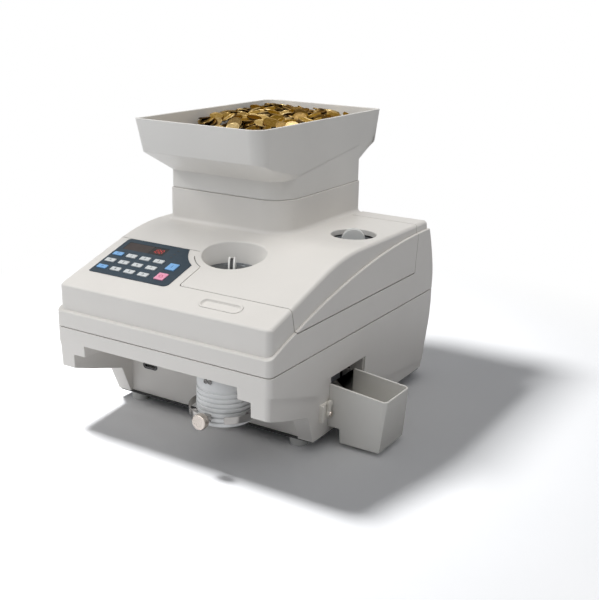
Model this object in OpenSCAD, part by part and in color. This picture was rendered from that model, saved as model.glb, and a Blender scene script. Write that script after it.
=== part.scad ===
// Desktop coin sorting machine: a two-part plastic case with a hinged hood, a lift-off coin hopper,
// a rotating feed disc, a sorting track with two setting dials, a coin tube and a reject tray.
// Axes: +X to the operator's right, +Y to the rear, +Z up. Sizes are in millimetres.

/* [Case] */
// Width of the case at its widest band
body_w = 320; // [300:1:340]
// Depth of the case at its widest band
body_d = 426.6; // [410:1:440]
// Height of the flat top above the table
top_z = 235; // [230:1:240]
// Height of the joint between the two case shells
seam_z = 130.5; // [126:0.5:134]
// Wall thickness of the case shells
wall = 3; // [2.4:0.1:3.2]
// How far the faces above the ledge stand back from the band
ledge_in = 3.4; // [2:0.1:5]
// Height of the ledge at the rear of the sides
ledge_z = 223.5; // [221:0.5:225]
// Fall of the ledge towards the front, per square millimetre of run
ledge_fall = 0.000489; // [0.0004:0.00001:0.0005]
// Height of the top edge of the front face
front_top_z = 185; // [180:1:190]
// Slope of the control face, in degrees
slope_a = 17.66; // [16:0.1:19]
// How far behind the front band the control face starts to round over into the flat top
round_over_in = 118.3; // [104:0.1:123]
// Radius of the front corners in plan
front_r = 9; // [4:0.5:14]
// Radius of the rear corners in plan
rear_r = 12; // [6:0.5:18]

/* [Lower case] */
// Height of the underside of the case above the table
base_z = 12; // [8:1:14]
// Underside of the front lip
lip_z = 112; // [108:1:116]
// Half width of the recess behind the lip
recess_x = 115; // [112:1:122]
// Half width of the recess between the cheeks
cheek_x = 133; // [130:1:140]
// Height of the step beside the lip
step_z = 97; // [92:1:102]
// How far the front wall of the base stands behind the front band
base_front_in = 108.8; // [104:0.1:115]
// Height of the lower front corner of the cheeks
cheek_z = 79; // [74:1:84]
// Thickness of the steel base plate
plate_t = 1.5; // [1:0.1:2]
// Diameter of each foot at the table
foot_d = 23; // [18:1:26]

/* [Hood and neck] */
// Running gap along the hood's seams
seam_gap = 0.8; // [0.6:0.1:1.2]
// How far the front edge of the hood stands behind the front band, on the right
hood_front_in = 47.3; // [44:0.1:53]
// How far the front edge of the hood stands behind the front band, on the left
hood_left_in = 119.8; // [117.3:0.1:121.3]
// Left edge of the hood's front tongue
tongue_x = -2; // [-4:0.5:2]
// Lower edge of the hood's side skirts
skirt_z = 168.4; // [166:0.2:174]
// Height of the hood's hinge axis
hinge_z = 224.5; // [223:0.5:225]
// How far the hood's hinge axis stands in from the rear of the case
hinge_in = 33.3; // [31.3:0.1:35.3]
// Diameter of the hinge pin
pin_d = 5; // [4:0.5:6]
// Left face of the neck that carries the hopper
neck_x0 = -133; // [-136:1:-130]
// Right face of the neck
neck_x1 = 48; // [46:1:50]
// Front face of the neck
neck_y0 = -15; // [-18:1:-12]
// How far the neck's rear face stands behind the hinge axis
neck_back = 10; // [6:1:10]
// Top of the neck
neck_z = 279; // [272:1:284]
// Radius of the neck's front right corner
neck_r = 40; // [30:1:44]

/* [Hopper] */
// Height of the hopper's rim
rim_z = 377; // [370:1:384]
// Height at which the bowl turns in to the neck
bowl_z = 333; // [326:1:338]
// Height at which the flare meets the neck
flare_z = 303; // [298:1:308]
// How far the rim overhangs the neck on each side
rim_side = 6; // [4:1:10]
// How far the rim overhangs the neck in front
rim_front = 65; // [60:1:70]
// How far the rim overhangs the neck behind
rim_back = 43; // [38:1:46]
// Wall thickness of the hopper
hopper_wall = 3; // [2:0.1:4]

/* [Control panel] */
// Left edge of the panel
panel_x0 = -139; // [-142:1:-136]
// Right edge of the panel
panel_x1 = -15; // [-17:1:-13]
// Lower edge of the panel, measured up the slope
panel_u0 = 37; // [34:1:40]
// Upper edge of the panel, measured up the slope
panel_u1 = 120; // [118:0.5:120.5]
// Spacing of the keys across the panel
key_pitch_x = 22; // [20:0.5:23]
// Spacing of the key rows up the slope
key_pitch_u = 16; // [14:0.5:17]
// Width of a small key
key_w = 15; // [12:0.5:17]
// Depth of a small key, up the slope
key_d = 7.3; // [6:0.1:8]
// Side of a large key
big_key = 14; // [12:0.5:15]
// Travel of a key
key_travel = 0.8; // [0.5:0.1:1]
// Thickness of the panel overlay
overlay_t = 0.8; // [0.5:0.1:1.2]

/* [Dials] */
// Position of the front dial across the machine
front_dial_x = 20; // [16:1:24]
// Position of the front dial along the machine
front_dial_y = -88; // [-92:1:-84]
// How far the rear dial stands to the right of the track
rear_dial_out = 28; // [26:1:30]
// Position of the rear dial along the machine
rear_dial_y = 55; // [50:1:60]
// Width of the front dial's well
well_w = 86; // [78:1:88]
// Depth of the front dial's well, front to back
well_d = 67; // [64:1:70]
// Floor of the front dial's well
well_floor_z = 205; // [200:1:208]
// Radius of the round hole over the rear dial
rear_well_r = 30; // [28:0.5:32]
// Depth of the rear dial below the flat top
rear_well_deep = 8; // [6:0.5:10]
// Radius of the grips on the dials
grip_r = 15.5; // [13:0.5:17]
// Thickness of each blade of a grip
blade_t = 2.4; // [2:0.1:3]
// Distance between the middles of a grip's two blades
blade_gap = 6.2; // [6:0.2:9]

/* [Mechanism] */
// Top of the steel mechanism deck
deck_z = 175; // [173:1:177]
// Thickness of the mechanism deck
deck_t = 3; // [2:0.5:4]
// Feed disc centre across the machine
disc_x = -42; // [-44:1:-40]
// Feed disc centre along the machine
disc_y = 88; // [86:1:90]
// Radius of the feed disc
disc_r = 76; // [70:1:76]
// Radius of the feed disc's pulley
feed_pulley_r = 26; // [20:1:30]
// Radius of the drive motor's pulley
motor_pulley_r = 10; // [7:1:12]
// Radius of the two transport rollers
roller_r = 8; // [6:0.5:9]
// Middle of the sorting track across the machine
track_x = 84; // [83:0.5:85]
// Travel of the diameter rail
rail_travel = 8; // [4:0.5:8]

/* [Coin tube] */
// Position of the tube across the machine
tube_x = 68; // [66:0.5:70]
// How far the middle of the tube stands behind the front band
tube_in = 43.3; // [42.3:0.1:45.3]
// Outer radius of the tube
tube_r = 33.5; // [31:0.5:34.5]
// Wall thickness of the tube
tube_wall = 2.5; // [2:0.1:3.5]
// Lower end of the tube
tube_z = 50; // [46:1:56]
// Inner radius of the bag clamp band
band_r = 41.8; // [40:0.2:43]
// Width of the bag clamp band
band_w = 9; // [6:0.5:11]
// Thickness of the bag clamp band
band_t = 1.2; // [0.8:0.1:1.6]
// Height of the middle of the bag clamp band
band_z = 62; // [58:0.5:66]

/* [Reject tray] */
// How far the tray's rim stands out from the middle of the case
tray_x1 = 235; // [225:1:245]
// Front face of the tray
tray_y0 = -76; // [-77:1:-75]
// Rear face of the tray
tray_y1 = -12; // [-14:1:-8]
// Height of the tray's rim at the case
tray_z1 = 80; // [74:1:84]
// Underside of the tray
tray_z0 = 4.5; // [3:0.5:8]
// Wall thickness of the tray
tray_wall = 2.5; // [2:0.1:3]
// Height of the sill that the tray rests on
sill_z = 23; // [20:1:28]

/* [Hidden] */
$fn = 48;

// Small gaps and overshoots
eps = 0.01;
over = 1;
rest_gap = 0.3;
run_gap = 0.05;

// Case outline
half_w = body_w / 2;
half_d = body_d / 2;
round_over_y = -half_d + round_over_in;
base_front_y = -half_d + base_front_in;
hood_front_y = -half_d + hood_front_in;
hood_left_y = -half_d + hood_left_in;
hinge_y = half_d - hinge_in;
neck_y1 = hinge_y + neck_back;
rim_x0 = neck_x0 - rim_side;
rim_x1 = neck_x1 + rim_side;
rim_y0 = neck_y0 - rim_front;
rim_y1 = neck_y1 + rim_back;
rear_dial_x = track_x + rear_dial_out;
tube_y = -half_d + tube_in;
slope_y0 = -half_d + ledge_in + 0.9;
slope_cos = cos(slope_a);
slope_tan = tan(slope_a);
round_z = front_top_z + (round_over_y - slope_y0) * slope_tan;
round_r = (top_z - round_z) / (1 - slope_cos);
round_cy = round_over_y + round_r * sin(slope_a);
round_cz = top_z - round_r;
rear_round_r = top_z - hinge_z;
bulge_z = 118;
rear_fall = (half_d - hinge_y - rear_round_r) / pow(hinge_z - bulge_z, 2);
ledge_y = half_d - 43.3;
curve_steps = 6;
roof_z = top_z + 60;

// Lower case
base_half_w = half_w - 5;
crease_z = seam_z - 23;
post_foot_y = base_front_y - 5;
rear_foot_y = half_d - 12.3;
foot_x = half_w - 33;
foot_front_y = base_front_y + 9.5;
foot_rear_y = half_d - 43.3;
boss_x = half_w - 11.5;
boss_front_y = base_front_y + 16.5;
boss_rear_y = half_d - 41.3;
boss_r = 6;
screw_r = 1.8;
floor_z = base_z + plate_t;

// Tray opening in the right side
open_y0 = tray_y0 + 3;
open_y1 = tray_y1 + 22;
open_z1 = tray_z1 + 8;

// Panel and keys
arc_cx = 20;
arc_cy = hood_left_y + 21.5;
hood_arc_r = 56;
panel_arc_r = 65;
key_x0 = panel_x0 + 12;
key_u0 = panel_u1 - 37.7;
big_key_x = panel_x1 - 20.5;
window_x0 = panel_x0 + 8;
window_w = 65;
window_u0 = panel_u0 + 58;
window_d = 17;
key_hole_gap = 0.3;
board_h = -7.2;
board_t = 1.6;
button_x = 73;
button_u = 25;
button_w = 60;
button_d = 19;
button_travel = 3;

// Dials and track
rear_dial_z = top_z - rear_well_deep;
dial_t = 2;
dial_shaft_r = 5;
dial_low_z = 160;
grip_a = 31.3;
track_half_w = 15;
track_floor_z = deck_z + 2;
rail_h = 7;
rail_x1 = track_x - track_half_w - 1 - rail_travel;
roller_z = track_floor_z + 4.5 + roller_r;
roller_w = 12;
front_roller_y = -100;
rear_roller_y = 5;
belt_t = 1.5;
roller_pin_r = 2.5;
bracket_x = track_x + 18;
gate_y = -50;
gate_l = 28;
gate_half_w = 12;
disc_z = deck_z + 3;
disc_t = 4;
bowl_r = disc_r + 3;
bowl_t = 2.5;
disc_shaft_r = 6;
pulley_z0 = 154;
pulley_z1 = 162;
motor_x = 70;
motor_y = 130;
motor_r = 24;
drop_r = tube_r - tube_wall - 2;
spigot_z = lip_z + wall + 2;

// Electrics and rear sockets
main_x = 40 - half_w;
main_y = base_front_y + 34.5;
supply_x = 78 - half_w;
supply_y = half_d - 85.3;
socket_z = base_z + 33;
inlet_x = 60 - half_w;
switch_x = inlet_x + 36;
socket_y = half_d - 9;

// The origin is the middle of the whole outline on the table
front_reach = -tube_y + band_r + 14.2;
shift_x = -(tray_x1 - body_w / 2) / 2;
shift_y = (front_reach - rim_y1) / 2;

// ---------------------------------------------------------------- outlines

function arc_points(cx, cy, r, a0, a1, n) =
    [for (i = [0:n]) [cx + r * cos(a0 + (a1 - a0) * i / n), cy + r * sin(a0 + (a1 - a0) * i / n)]];

// Rounded rectangle; r holds the front left, front right, rear right and rear left radii
function round_rect(x0, y0, x1, y1, r, n = 5) = concat(
    arc_points(x0 + r[0], y0 + r[0], r[0], 180, 270, n),
    arc_points(x1 - r[1], y0 + r[1], r[1], 270, 360, n),
    arc_points(x1 - r[2], y1 - r[2], r[2], 0, 90, n),
    arc_points(x0 + r[3], y1 - r[3], r[3], 90, 180, n));

function inset_rect(x0, y0, x1, y1, r, t) =
    round_rect(x0 + t, y0 + t, x1 - t, y1 - t, [for (q = r) max(q - t, 1)]);

// Distance of the bulged rear face behind the centre, at a height above the bulge
function rear_y(z) = half_d - rear_fall * pow(z - bulge_z, 2);

// Height of the ledge along the sides
function ledge_at(y) = ledge_z - ledge_fall * pow(ledge_y - y, 2);

function rear_curve(z_high, z_low, t) =
    [for (i = [0:curve_steps]) let (z = z_high + (z_low - z_high) * i / curve_steps) [rear_y(z) - t, z]];

// Side outline of the case above the ledge, moved in by t
function crown_outline(t, z_low) = concat(
    [[slope_y0 + t, z_low], [slope_y0 + t, front_top_z + slope_tan * t - t / slope_cos]],
    arc_points(round_cy, round_cz, round_r - t, 90 + slope_a, 90, curve_steps),
    arc_points(hinge_y, hinge_z, rear_round_r - t, 90, 0, curve_steps),
    rear_curve(hinge_z - over, z_low, t));

// Side outline of the wider band below the ledge
function band_outline() = concat(
    [[-half_d, seam_z], [-half_d, ledge_at(-half_d)]],
    [for (i = [1:10]) let (y = -half_d + (ledge_y + half_d) * i / 10) [y, ledge_at(y)]],
    rear_curve(ledge_z, seam_z, 0));

// Side outline of the lower case with its cheeks, moved in by t
function lower_outline(t, z_low, z_high) = [
    [-half_d + t, z_high], [-half_d + t, crease_z + 6], [-half_d + 0.7 + t, crease_z],
    [-half_d + 1.5 + t, cheek_z + t * 0.8],
    [-half_d + 36.3, cheek_z - 12 + t], [-half_d + 59.8, cheek_z - 19 + t],
    [-125 + t * 0.9, cheek_z - 28 + t * 0.8], [post_foot_y + t, base_z + 3], [post_foot_y + t, z_low],
    [rear_foot_y - t, z_low], [rear_foot_y + 4 - t, base_z + 38], [half_d - 5 - t, base_z + 56],
    [half_d - 1 - t, 92], [half_d - t, 112], [rear_y(z_high) - t, z_high]];

// Front outline of the lower case, moved in by t
function lower_front(t, z_low, z_high) = [
    [-base_half_w + t, z_low], [base_half_w - t, z_low], [half_w - 3.8 - t, cheek_z],
    [half_w - 2.7 - t, crease_z],
    [half_w - t, crease_z + 6], [half_w - t, z_high], [-half_w + t, z_high],
    [-half_w + t, crease_z + 6], [-half_w + 2.7 + t, crease_z],
    [-half_w + 3.8 + t, cheek_z]];

// ---------------------------------------------------------------- helpers

module along_x(width, points)
    rotate([90, 0, 90]) linear_extrude(height = width, center = true) polygon(points);

module along_y(depth, points)
    rotate([90, 0, 0]) linear_extrude(height = depth, center = true) polygon(points);

module slab(z0, z1, points)
    translate([0, 0, z0]) linear_extrude(height = z1 - z0) polygon(points);

module block(x0, x1, y0, y1, z0, z1)
    translate([x0, y0, z0]) cube([x1 - x0, y1 - y0, z1 - z0]);

module rod(x, y, z0, z1, r)
    translate([x, y, z0]) cylinder(h = z1 - z0, r = r);

module rod_x(x0, x1, y, z, r)
    translate([x0, y, z]) rotate([0, 90, 0]) cylinder(h = x1 - x0, r = r);

module rod_y(x, y0, y1, z, r)
    translate([x, y1, z]) rotate([90, 0, 0]) cylinder(h = y1 - y0, r = r);

// Children are placed by x, by distance up the control face, and by height off it
module on_slope()
    translate([0, slope_y0, front_top_z]) rotate([slope_a, 0, 0]) children();

module plan_body(t, width_in, front_in)
    slab(-over, roof_z, inset_rect(-half_w + width_in, -half_d + front_in, half_w - width_in, half_d,
                                   [front_r, front_r, rear_r, rear_r], t));

// ---------------------------------------------------------------- upper shells

module crown_solid(t, z_low) intersection() {
    along_x(body_w, crown_outline(t, z_low));
    plan_body(t, ledge_in, ledge_in + 0.9);
}

module band_solid() intersection() {
    along_x(body_w, band_outline());
    plan_body(0, 0, 0);
}

module upper_shell() difference() {
    union() {
        crown_solid(0, seam_z);
        band_solid();
    }
    crown_solid(wall, seam_z - over);
}

// Side outline of the hood's volume; the rear edge is an arc around the hinge, so it opens freely
function hood_side(front_low_y, front_y, front_z, g) = concat(
    [[front_low_y - g, skirt_z - g], [front_y - g, front_z], [front_y - g, roof_z]],
    [[hinge_y - (27 - g) * cos(23), roof_z]],
    arc_points(hinge_y, hinge_z, 27 - g, 157, 190, 3),
    [[hinge_y - 32 + g, skirt_z - g]]);

function hood_plan(g) = concat(
    [[half_w + over, hood_front_y - g], [half_w + over, hinge_y], [-half_w - over, hinge_y],
     [-half_w - over, hood_left_y - g]],
    arc_points(arc_cx, arc_cy, hood_arc_r + g, 180 + asin((arc_cy - hood_left_y + g) / (hood_arc_r + g)),
               270 - asin((arc_cx - tongue_x + g) / (hood_arc_r + g)), 5),
    arc_points(tongue_x - g + 4, hood_front_y - g + 4, 4, 180, 270, 3));

module hood_zone(g) union() {
    intersection() {
        slab(skirt_z - g, roof_z, hood_plan(g));
        union() {
            translate([half_w / 2 - 10, 0, 0])
                along_x(body_w / 2 + 100, hood_side(hood_front_y + 7, hood_front_y, 197, g));
            translate([-half_w / 2 - 30, 0, 0])
                along_x(body_w / 2 - 30, hood_side(hood_left_y + 18, hood_left_y, 220, g));
        }
    }
    block(-half_w - over, neck_x1 + 5 + g, hinge_y - 30, half_d, hinge_z - 2 - g, roof_z);
}

module key_holes() on_slope() {
    for (row = [0:2])
        for (col = [0:3])
            translate([key_x0 + col * key_pitch_x, key_u0 - row * key_pitch_u, 0])
                cube([key_w + 2 * key_hole_gap, key_d + 2 * key_hole_gap, 12], center = true);
    for (row = [0:1])
        translate([big_key_x, key_u0 - 5.8 - row * 22.8, 0])
            cube([big_key + 2 * key_hole_gap, big_key + 2 * key_hole_gap, 12], center = true);
    translate([window_x0, window_u0, -6]) cube([window_w, window_d, 12]);
}

module pill(w, d, z0, z1) translate([0, 0, z0]) linear_extrude(height = z1 - z0) union() {
    square([w - d, d], center = true);
    for (side = [-1, 1]) translate([side * (w - d) / 2, 0]) circle(d = d);
}

module hinge_ears() for (x = [neck_x0 - 9, neck_x1 + 10]) difference() {
    along_ear(x);
    rod_x(x - over, x + 9 + over, hinge_y, hinge_z, pin_d / 2);
}

module along_ear(x) translate([x + 4, 0, 0]) along_x(8, [
    [hinge_y - 5, hinge_z], [hinge_y - 3.5, hinge_z + 4], [hinge_y + 3.5, hinge_z + 4],
    [hinge_y + 4, hinge_z - 4], [hinge_y + 2.5, hinge_z - 12], [rear_y(196) - wall + over, hinge_z - 22],
    [rear_y(180) - wall + over, 180], [hinge_y - 5, 205]]);

module upper_case() color([0.87, 0.86, 0.83]) union() {
    difference() {
        union() {
            upper_shell();
            for (x = [-boss_x, boss_x], y = [boss_front_y, boss_rear_y])
                rod(x, y, seam_z, seam_z + 20, boss_r);
        }
        hood_zone(seam_gap / 2);
        rod_x(-half_w - over, neck_x1 + 5 + seam_gap / 2, hinge_y, hinge_z, rear_round_r + 1.6 + seam_gap / 2);
        key_holes();
        on_slope() translate([button_x, button_u, 0]) pill(button_w, button_d, -10, 10);
        for (x = [-boss_x, boss_x], y = [boss_front_y, boss_rear_y])
            rod(x, y, seam_z - over, seam_z + 16, screw_r + run_gap);
    }
    on_slope() {
        for (x = [panel_x0 + 3, panel_x1 - 12], u = [panel_u0 + 3, panel_u1 - 14])
            translate([x, u, board_h]) cylinder(h = -board_h - wall + 0.5, r = 2.5);
    }
    hinge_ears();
}

// ---------------------------------------------------------------- hood and hopper

module neck_tube(z0, z1, t_out, t_in) difference() {
    slab(z0, z1, inset_rect(neck_x0, neck_y0, neck_x1, neck_y1, [8, neck_r, 15, 15], t_out));
    slab(z0 - over, z1 + over, inset_rect(neck_x0, neck_y0, neck_x1, neck_y1, [8, neck_r, 15, 15], t_in));
}

function ellipse_points(cx, cy, w, d, n) =
    [for (i = [0:n - 1]) [cx + w / 2 * cos(360 * i / n), cy + d / 2 * sin(360 * i / n)]];

well_cx = front_dial_x + 1;
well_cy = front_dial_y + 3;

module well_walls() intersection() {
    crown_solid(0, seam_z);
    difference() {
        union() {
            slab(well_floor_z + 2, roof_z, ellipse_points(well_cx, well_cy, well_w + 4, well_d + 4, 40));
            rod(rear_dial_x, rear_dial_y, rear_dial_z + 1, roof_z, rear_well_r + 2);
        }
        well_holes();
    }
}

module well_holes() {
    slab(well_floor_z, roof_z, ellipse_points(well_cx, well_cy, well_w, well_d, 40));
    rod(rear_dial_x, rear_dial_y, rear_dial_z, roof_z, rear_well_r);
}

module hinge_lugs() for (x = [neck_x0 + 12, neck_x1 - 34]) intersection() {
    translate([x + 11, 0, 0]) along_x(22, crown_outline(0.5, seam_z));
    union() {
        rod_x(x, x + 22, hinge_y, hinge_z, 7);
        block(x, x + 22, hinge_y - 7, hinge_y + 7, hinge_z, top_z);
    }
}

module hood() color([0.89, 0.88, 0.85]) difference() {
    union() {
        intersection() {
            upper_shell();
            hood_zone(-seam_gap / 2);
        }
        intersection() {
            neck_tube(hinge_z + 3, neck_z, 0, wall);
            block(neck_x0, neck_x1, neck_y0, neck_y1, hinge_z + 3, neck_z);
        }
        well_walls();
        hinge_lugs();
    }
    well_holes();
    rod(disc_x, disc_y, seam_z, top_z + 5, bowl_r - 1);
    rod_x(neck_x0, neck_x1, hinge_y, hinge_z, pin_d / 2 + run_gap);
}

function rim_rect(t) = inset_rect(rim_x0, rim_y0, rim_x1, rim_y1, [9, 20, 6, 20], t);
function bowl_rect(t) = inset_rect(rim_x0 + 4, rim_y0 + 10, rim_x1 - 2, rim_y1 - 9, [8, 18, 6, 18], t);
function spigot_rect(t) = inset_rect(neck_x0, neck_y0, neck_x1, neck_y1, [8, neck_r, 15, 15], 1.5 + t);

module hopper_solid(t, rise) union() {
    hull() {
        slab(flare_z, flare_z + 0.1, spigot_rect(t));
        slab(bowl_z + t / 2, bowl_z + t / 2 + 0.1, bowl_rect(t));
    }
    hull() {
        slab(bowl_z + t / 2, bowl_z + t / 2 + 0.1, bowl_rect(t));
        slab(rim_z + rise - 0.1, rim_z + rise, rim_rect(t));
    }
}

module hopper() color([0.88, 0.87, 0.84]) difference() {
    union() {
        hopper_solid(0, 0);
        slab(neck_z + rest_gap, flare_z + 0.05, spigot_rect(0));
        slab(neck_z - 10, neck_z + 4, spigot_rect(2));
    }
    hopper_solid(hopper_wall, over);
    slab(neck_z - 10 - over, flare_z + 0.1, spigot_rect(2 + hopper_wall));
}

module hinge_pin() color("silver")
    rod_x(neck_x0 - 9, neck_x1 + 18, hinge_y, hinge_z, pin_d / 2 - eps);

// ---------------------------------------------------------------- lower shells

module recess(t) {
    block(-cheek_x - t, cheek_x + t, -half_d - 10, base_front_y + t, -over, step_z + t);
    block(-recess_x - t, recess_x + t, -half_d - 10, base_front_y + t, -over, lip_z + t);
}

module lower_solid(t, z_low, z_high) intersection() {
    along_x(body_w + 2, lower_outline(t, z_low, z_high));
    along_y(body_d + 2, lower_front(t, z_low, z_high));
    plan_body(t, 0, 0);
}

module lower_case() color([0.85, 0.84, 0.82]) difference() {
    union() {
        difference() {
            lower_solid(0, base_z, seam_z);
            difference() {
                lower_solid(wall, base_z - over, seam_z + over);
                recess(wall);
            }
            recess(0);
        }
        for (x = [-boss_x, boss_x], y = [boss_front_y, boss_rear_y])
            rod(x, y, floor_z, seam_z, boss_r);
        block(half_w - 14, half_w - 5, open_y0 - wall, open_y1 + wall, sill_z - wall, sill_z);
    }
    block(half_w - 20, half_w + 10, open_y0, open_y1, sill_z, open_z1);
    for (x = [-boss_x, boss_x], y = [boss_front_y, boss_rear_y])
        rod(x, y, base_z - over, seam_z + over, screw_r + 0.2);
    rod(tube_x, tube_y, lip_z - over, lip_z + wall + over, tube_r + 0.1);
    block(-half_w - over, half_w + over, post_foot_y - over, half_d, base_z - over, floor_z);
    block(inlet_x - 18, inlet_x + 18, socket_y - 30, half_d + over, socket_z - 12, socket_z + 12);
    block(switch_x - 11, switch_x + 11, socket_y - 30, half_d + over, socket_z - 12, socket_z + 12);
    port_shape(base_front_y - over, base_front_y + wall + over, 0.1);
}

module base_plate() color([0.62, 0.63, 0.65]) difference() {
    slab(base_z, floor_z - eps, round_rect(-base_half_w + 0.5, post_foot_y + 0.5, base_half_w - 0.5,
                                     rear_foot_y - 0.5, [6, 6, rear_r, rear_r]));
    for (x = [-boss_x, boss_x], y = [boss_front_y, boss_rear_y])
        rod(x, y, base_z - over, floor_z + over, screw_r + 0.2);
}

module feet() color([0.72, 0.72, 0.70])
    for (x = [-foot_x, foot_x], y = [foot_front_y, foot_rear_y])
        translate([x, y, 0]) rotate_extrude() polygon([
            [0, 0], [foot_d / 2 - 1, 0], [foot_d / 2, 1], [foot_d / 2 + 1.5, base_z], [0, base_z]]);

module case_screws() color("dimgray")
    for (x = [-boss_x, boss_x], y = [boss_front_y, boss_rear_y]) {
        rod(x, y, base_z - eps, seam_z + 15, screw_r);
        rod(x, y, base_z - 2.5, base_z, 3.6);
    }

// ---------------------------------------------------------------- mechanism deck

module mech_deck() color([0.55, 0.56, 0.58]) difference() {
    slab(deck_z - deck_t, deck_z, round_rect(-half_w + 13, slope_y0 + wall + 1, half_w - 13, hinge_y - 4,
                                             [10, 10, 12, 12]));
    rod(disc_x, disc_y, deck_z - 5, deck_z + 5, disc_shaft_r + run_gap);
    rod(front_dial_x, front_dial_y, deck_z - 5, deck_z + 5, dial_shaft_r + run_gap);
    rod(rear_dial_x, rear_dial_y, deck_z - 5, deck_z + 5, dial_shaft_r + run_gap);
    rod(tube_x, tube_y, deck_z - 5, deck_z + 5, drop_r);
    block(track_x - gate_half_w - 1, track_x + gate_half_w + 1, gate_y - 2, gate_y + gate_l + 2,
          deck_z - 5, deck_z + 5);
}

module deck_posts() color("silver") {
    for (place = [[28 - half_w, hinge_y - 25], [half_w - 28, hinge_y - 25], [32 - half_w, base_front_y + 18],
                  [half_w - 44, base_front_y + 18]])
        rod(place[0], place[1], floor_z, deck_z - deck_t, 5);
    for (x = [-recess_x + 18, recess_x - 6])
        rod(x, tube_y - 18, lip_z + wall, deck_z - deck_t, 5);
}

module feed_disc() color([0.35, 0.36, 0.38]) {
    rod(disc_x, disc_y, disc_z, disc_z + disc_t, disc_r);
    translate([disc_x, disc_y, disc_z + disc_t - eps]) cylinder(h = 8, r1 = 16, r2 = 7);
    rod(disc_x, disc_y, pulley_z0, disc_z + eps, disc_shaft_r);
    rod(disc_x, disc_y, pulley_z0, pulley_z1, feed_pulley_r);
}

module feed_bowl() color([0.45, 0.46, 0.48]) difference() {
    rod(disc_x, disc_y, deck_z, top_z - wall - 0.5, bowl_r + bowl_t);
    rod(disc_x, disc_y, deck_z - over, top_z, bowl_r);
    block(disc_x, disc_x + 120, disc_y - 34, disc_y + 4, deck_z + 1.5, deck_z + 12);
}

module drive_motor() color([0.3, 0.3, 0.32]) union() {
    rod(motor_x, motor_y, 92, 148, motor_r);
    difference() {
        block(motor_x - 30, motor_x + 30, motor_y - 14, motor_y + 14, 148, 150);
        rod(motor_x, motor_y, 140, 160, 6);
    }
    for (side = [-1, 1])
        rod(motor_x + side * 25, motor_y, 150, deck_z - deck_t, 4);
    rod(motor_x, motor_y, 148 - eps, 151, 3 - run_gap);
}

module motor_pulley() color("silver") union() {
    rod(motor_x, motor_y, pulley_z0 - 2, pulley_z1 + 1, motor_pulley_r - 1.5);
    rod(motor_x, motor_y, pulley_z0, pulley_z1, motor_pulley_r);
    rod(motor_x, motor_y, 151 + rest_gap, pulley_z0, 3);
}

module belt_outline(grow) hull() {
    translate([disc_x, disc_y]) circle(r = feed_pulley_r + grow);
    translate([motor_x, motor_y]) circle(r = motor_pulley_r + grow);
}

module drive_belt() color([0.12, 0.12, 0.12])
    translate([0, 0, pulley_z0 + 1]) linear_extrude(height = pulley_z1 - pulley_z0 - 2) difference() {
        belt_outline(belt_t);
        belt_outline(2 * run_gap);
    }

module coin_track() color([0.72, 0.73, 0.74]) difference() {
    union() {
        block(track_x - track_half_w, track_x + track_half_w + 2, tube_y + 22, disc_y - 18, deck_z, track_floor_z);
        block(track_x + track_half_w, track_x + track_half_w + 3, tube_y + 22, disc_y + 22, deck_z,
              track_floor_z + rail_h);
        block(bracket_x + 1, bracket_x + 4, front_roller_y - 8, rear_roller_y + 8, deck_z,
              roller_z + 8);
        rod_x(track_x - roller_w / 2, bracket_x + 2, front_roller_y, roller_z, roller_pin_r);
        rod_x(track_x - gate_half_w - 2, track_x + gate_half_w + 2, gate_y, deck_z + 1, 0.8);
        for (y = [37 - run_gap - 4, 41 + run_gap])
            block(track_x + 10 + run_gap, track_x + 13, y, y + 4, track_floor_z - eps, track_floor_z + 24);
    }
    difference() {
        block(track_x - gate_half_w - 0.5, track_x + gate_half_w + 0.5, gate_y - 1.8, gate_y + gate_l + 1,
              deck_z - over, track_floor_z + over);
        rod_x(track_x - gate_half_w - 2, track_x + gate_half_w + 2, gate_y, deck_z + 1, 0.8);
    }
    rod_x(bracket_x, bracket_x + 5, rear_roller_y, roller_z, roller_pin_r + run_gap);
}

module reject_gate() color([0.8, 0.8, 0.78]) difference() {
    union() {
        block(track_x - gate_half_w, track_x + gate_half_w, gate_y, gate_y + gate_l, deck_z + 0.4,
              deck_z + 1.6);
        rod_x(track_x - gate_half_w, track_x + gate_half_w, gate_y, deck_z + 1, 1.4);
    }
    rod_x(track_x - gate_half_w - 1, track_x + gate_half_w + 1, gate_y, deck_z + 1, 0.8 + run_gap);
}

module transport_motor() color([0.3, 0.3, 0.32]) union() {
    rod_x(bracket_x + 4, bracket_x + 40, rear_roller_y, roller_z, 12);
    block(bracket_x + 8, bracket_x + 34, rear_roller_y - 10, rear_roller_y + 10, deck_z, roller_z - 5);
}

module drive_roller() color([0.2, 0.2, 0.2]) {
    rod_x(track_x - roller_w / 2, track_x + roller_w / 2, rear_roller_y, roller_z, roller_r);
    rod_x(track_x, bracket_x + 4 - rest_gap, rear_roller_y, roller_z, roller_pin_r);
}

module idler_roller() color([0.2, 0.2, 0.2]) difference() {
    rod_x(track_x - roller_w / 2, track_x + roller_w / 2, front_roller_y, roller_z, roller_r);
    rod_x(track_x - roller_w, track_x + roller_w, front_roller_y, roller_z, roller_pin_r + run_gap);
}

module loop_solid(grow, w) {
    for (y = [front_roller_y, rear_roller_y])
        rod_x(track_x - w / 2, track_x + w / 2, y, roller_z, roller_r + grow);
    block(track_x - w / 2, track_x + w / 2, front_roller_y, rear_roller_y, roller_z - roller_r - grow,
          roller_z + roller_r + grow);
}

module transport_belt() color([0.12, 0.12, 0.12]) difference() {
    loop_solid(belt_t, roller_w - 2);
    loop_solid(2 * run_gap, roller_w);
}

module coin_sensor() color([0.15, 0.3, 0.2])
    block(track_x - 12, track_x + track_half_w + 3, tube_y + 40, tube_y + 54, track_floor_z + rail_h,
          track_floor_z + rail_h + 8);

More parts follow.
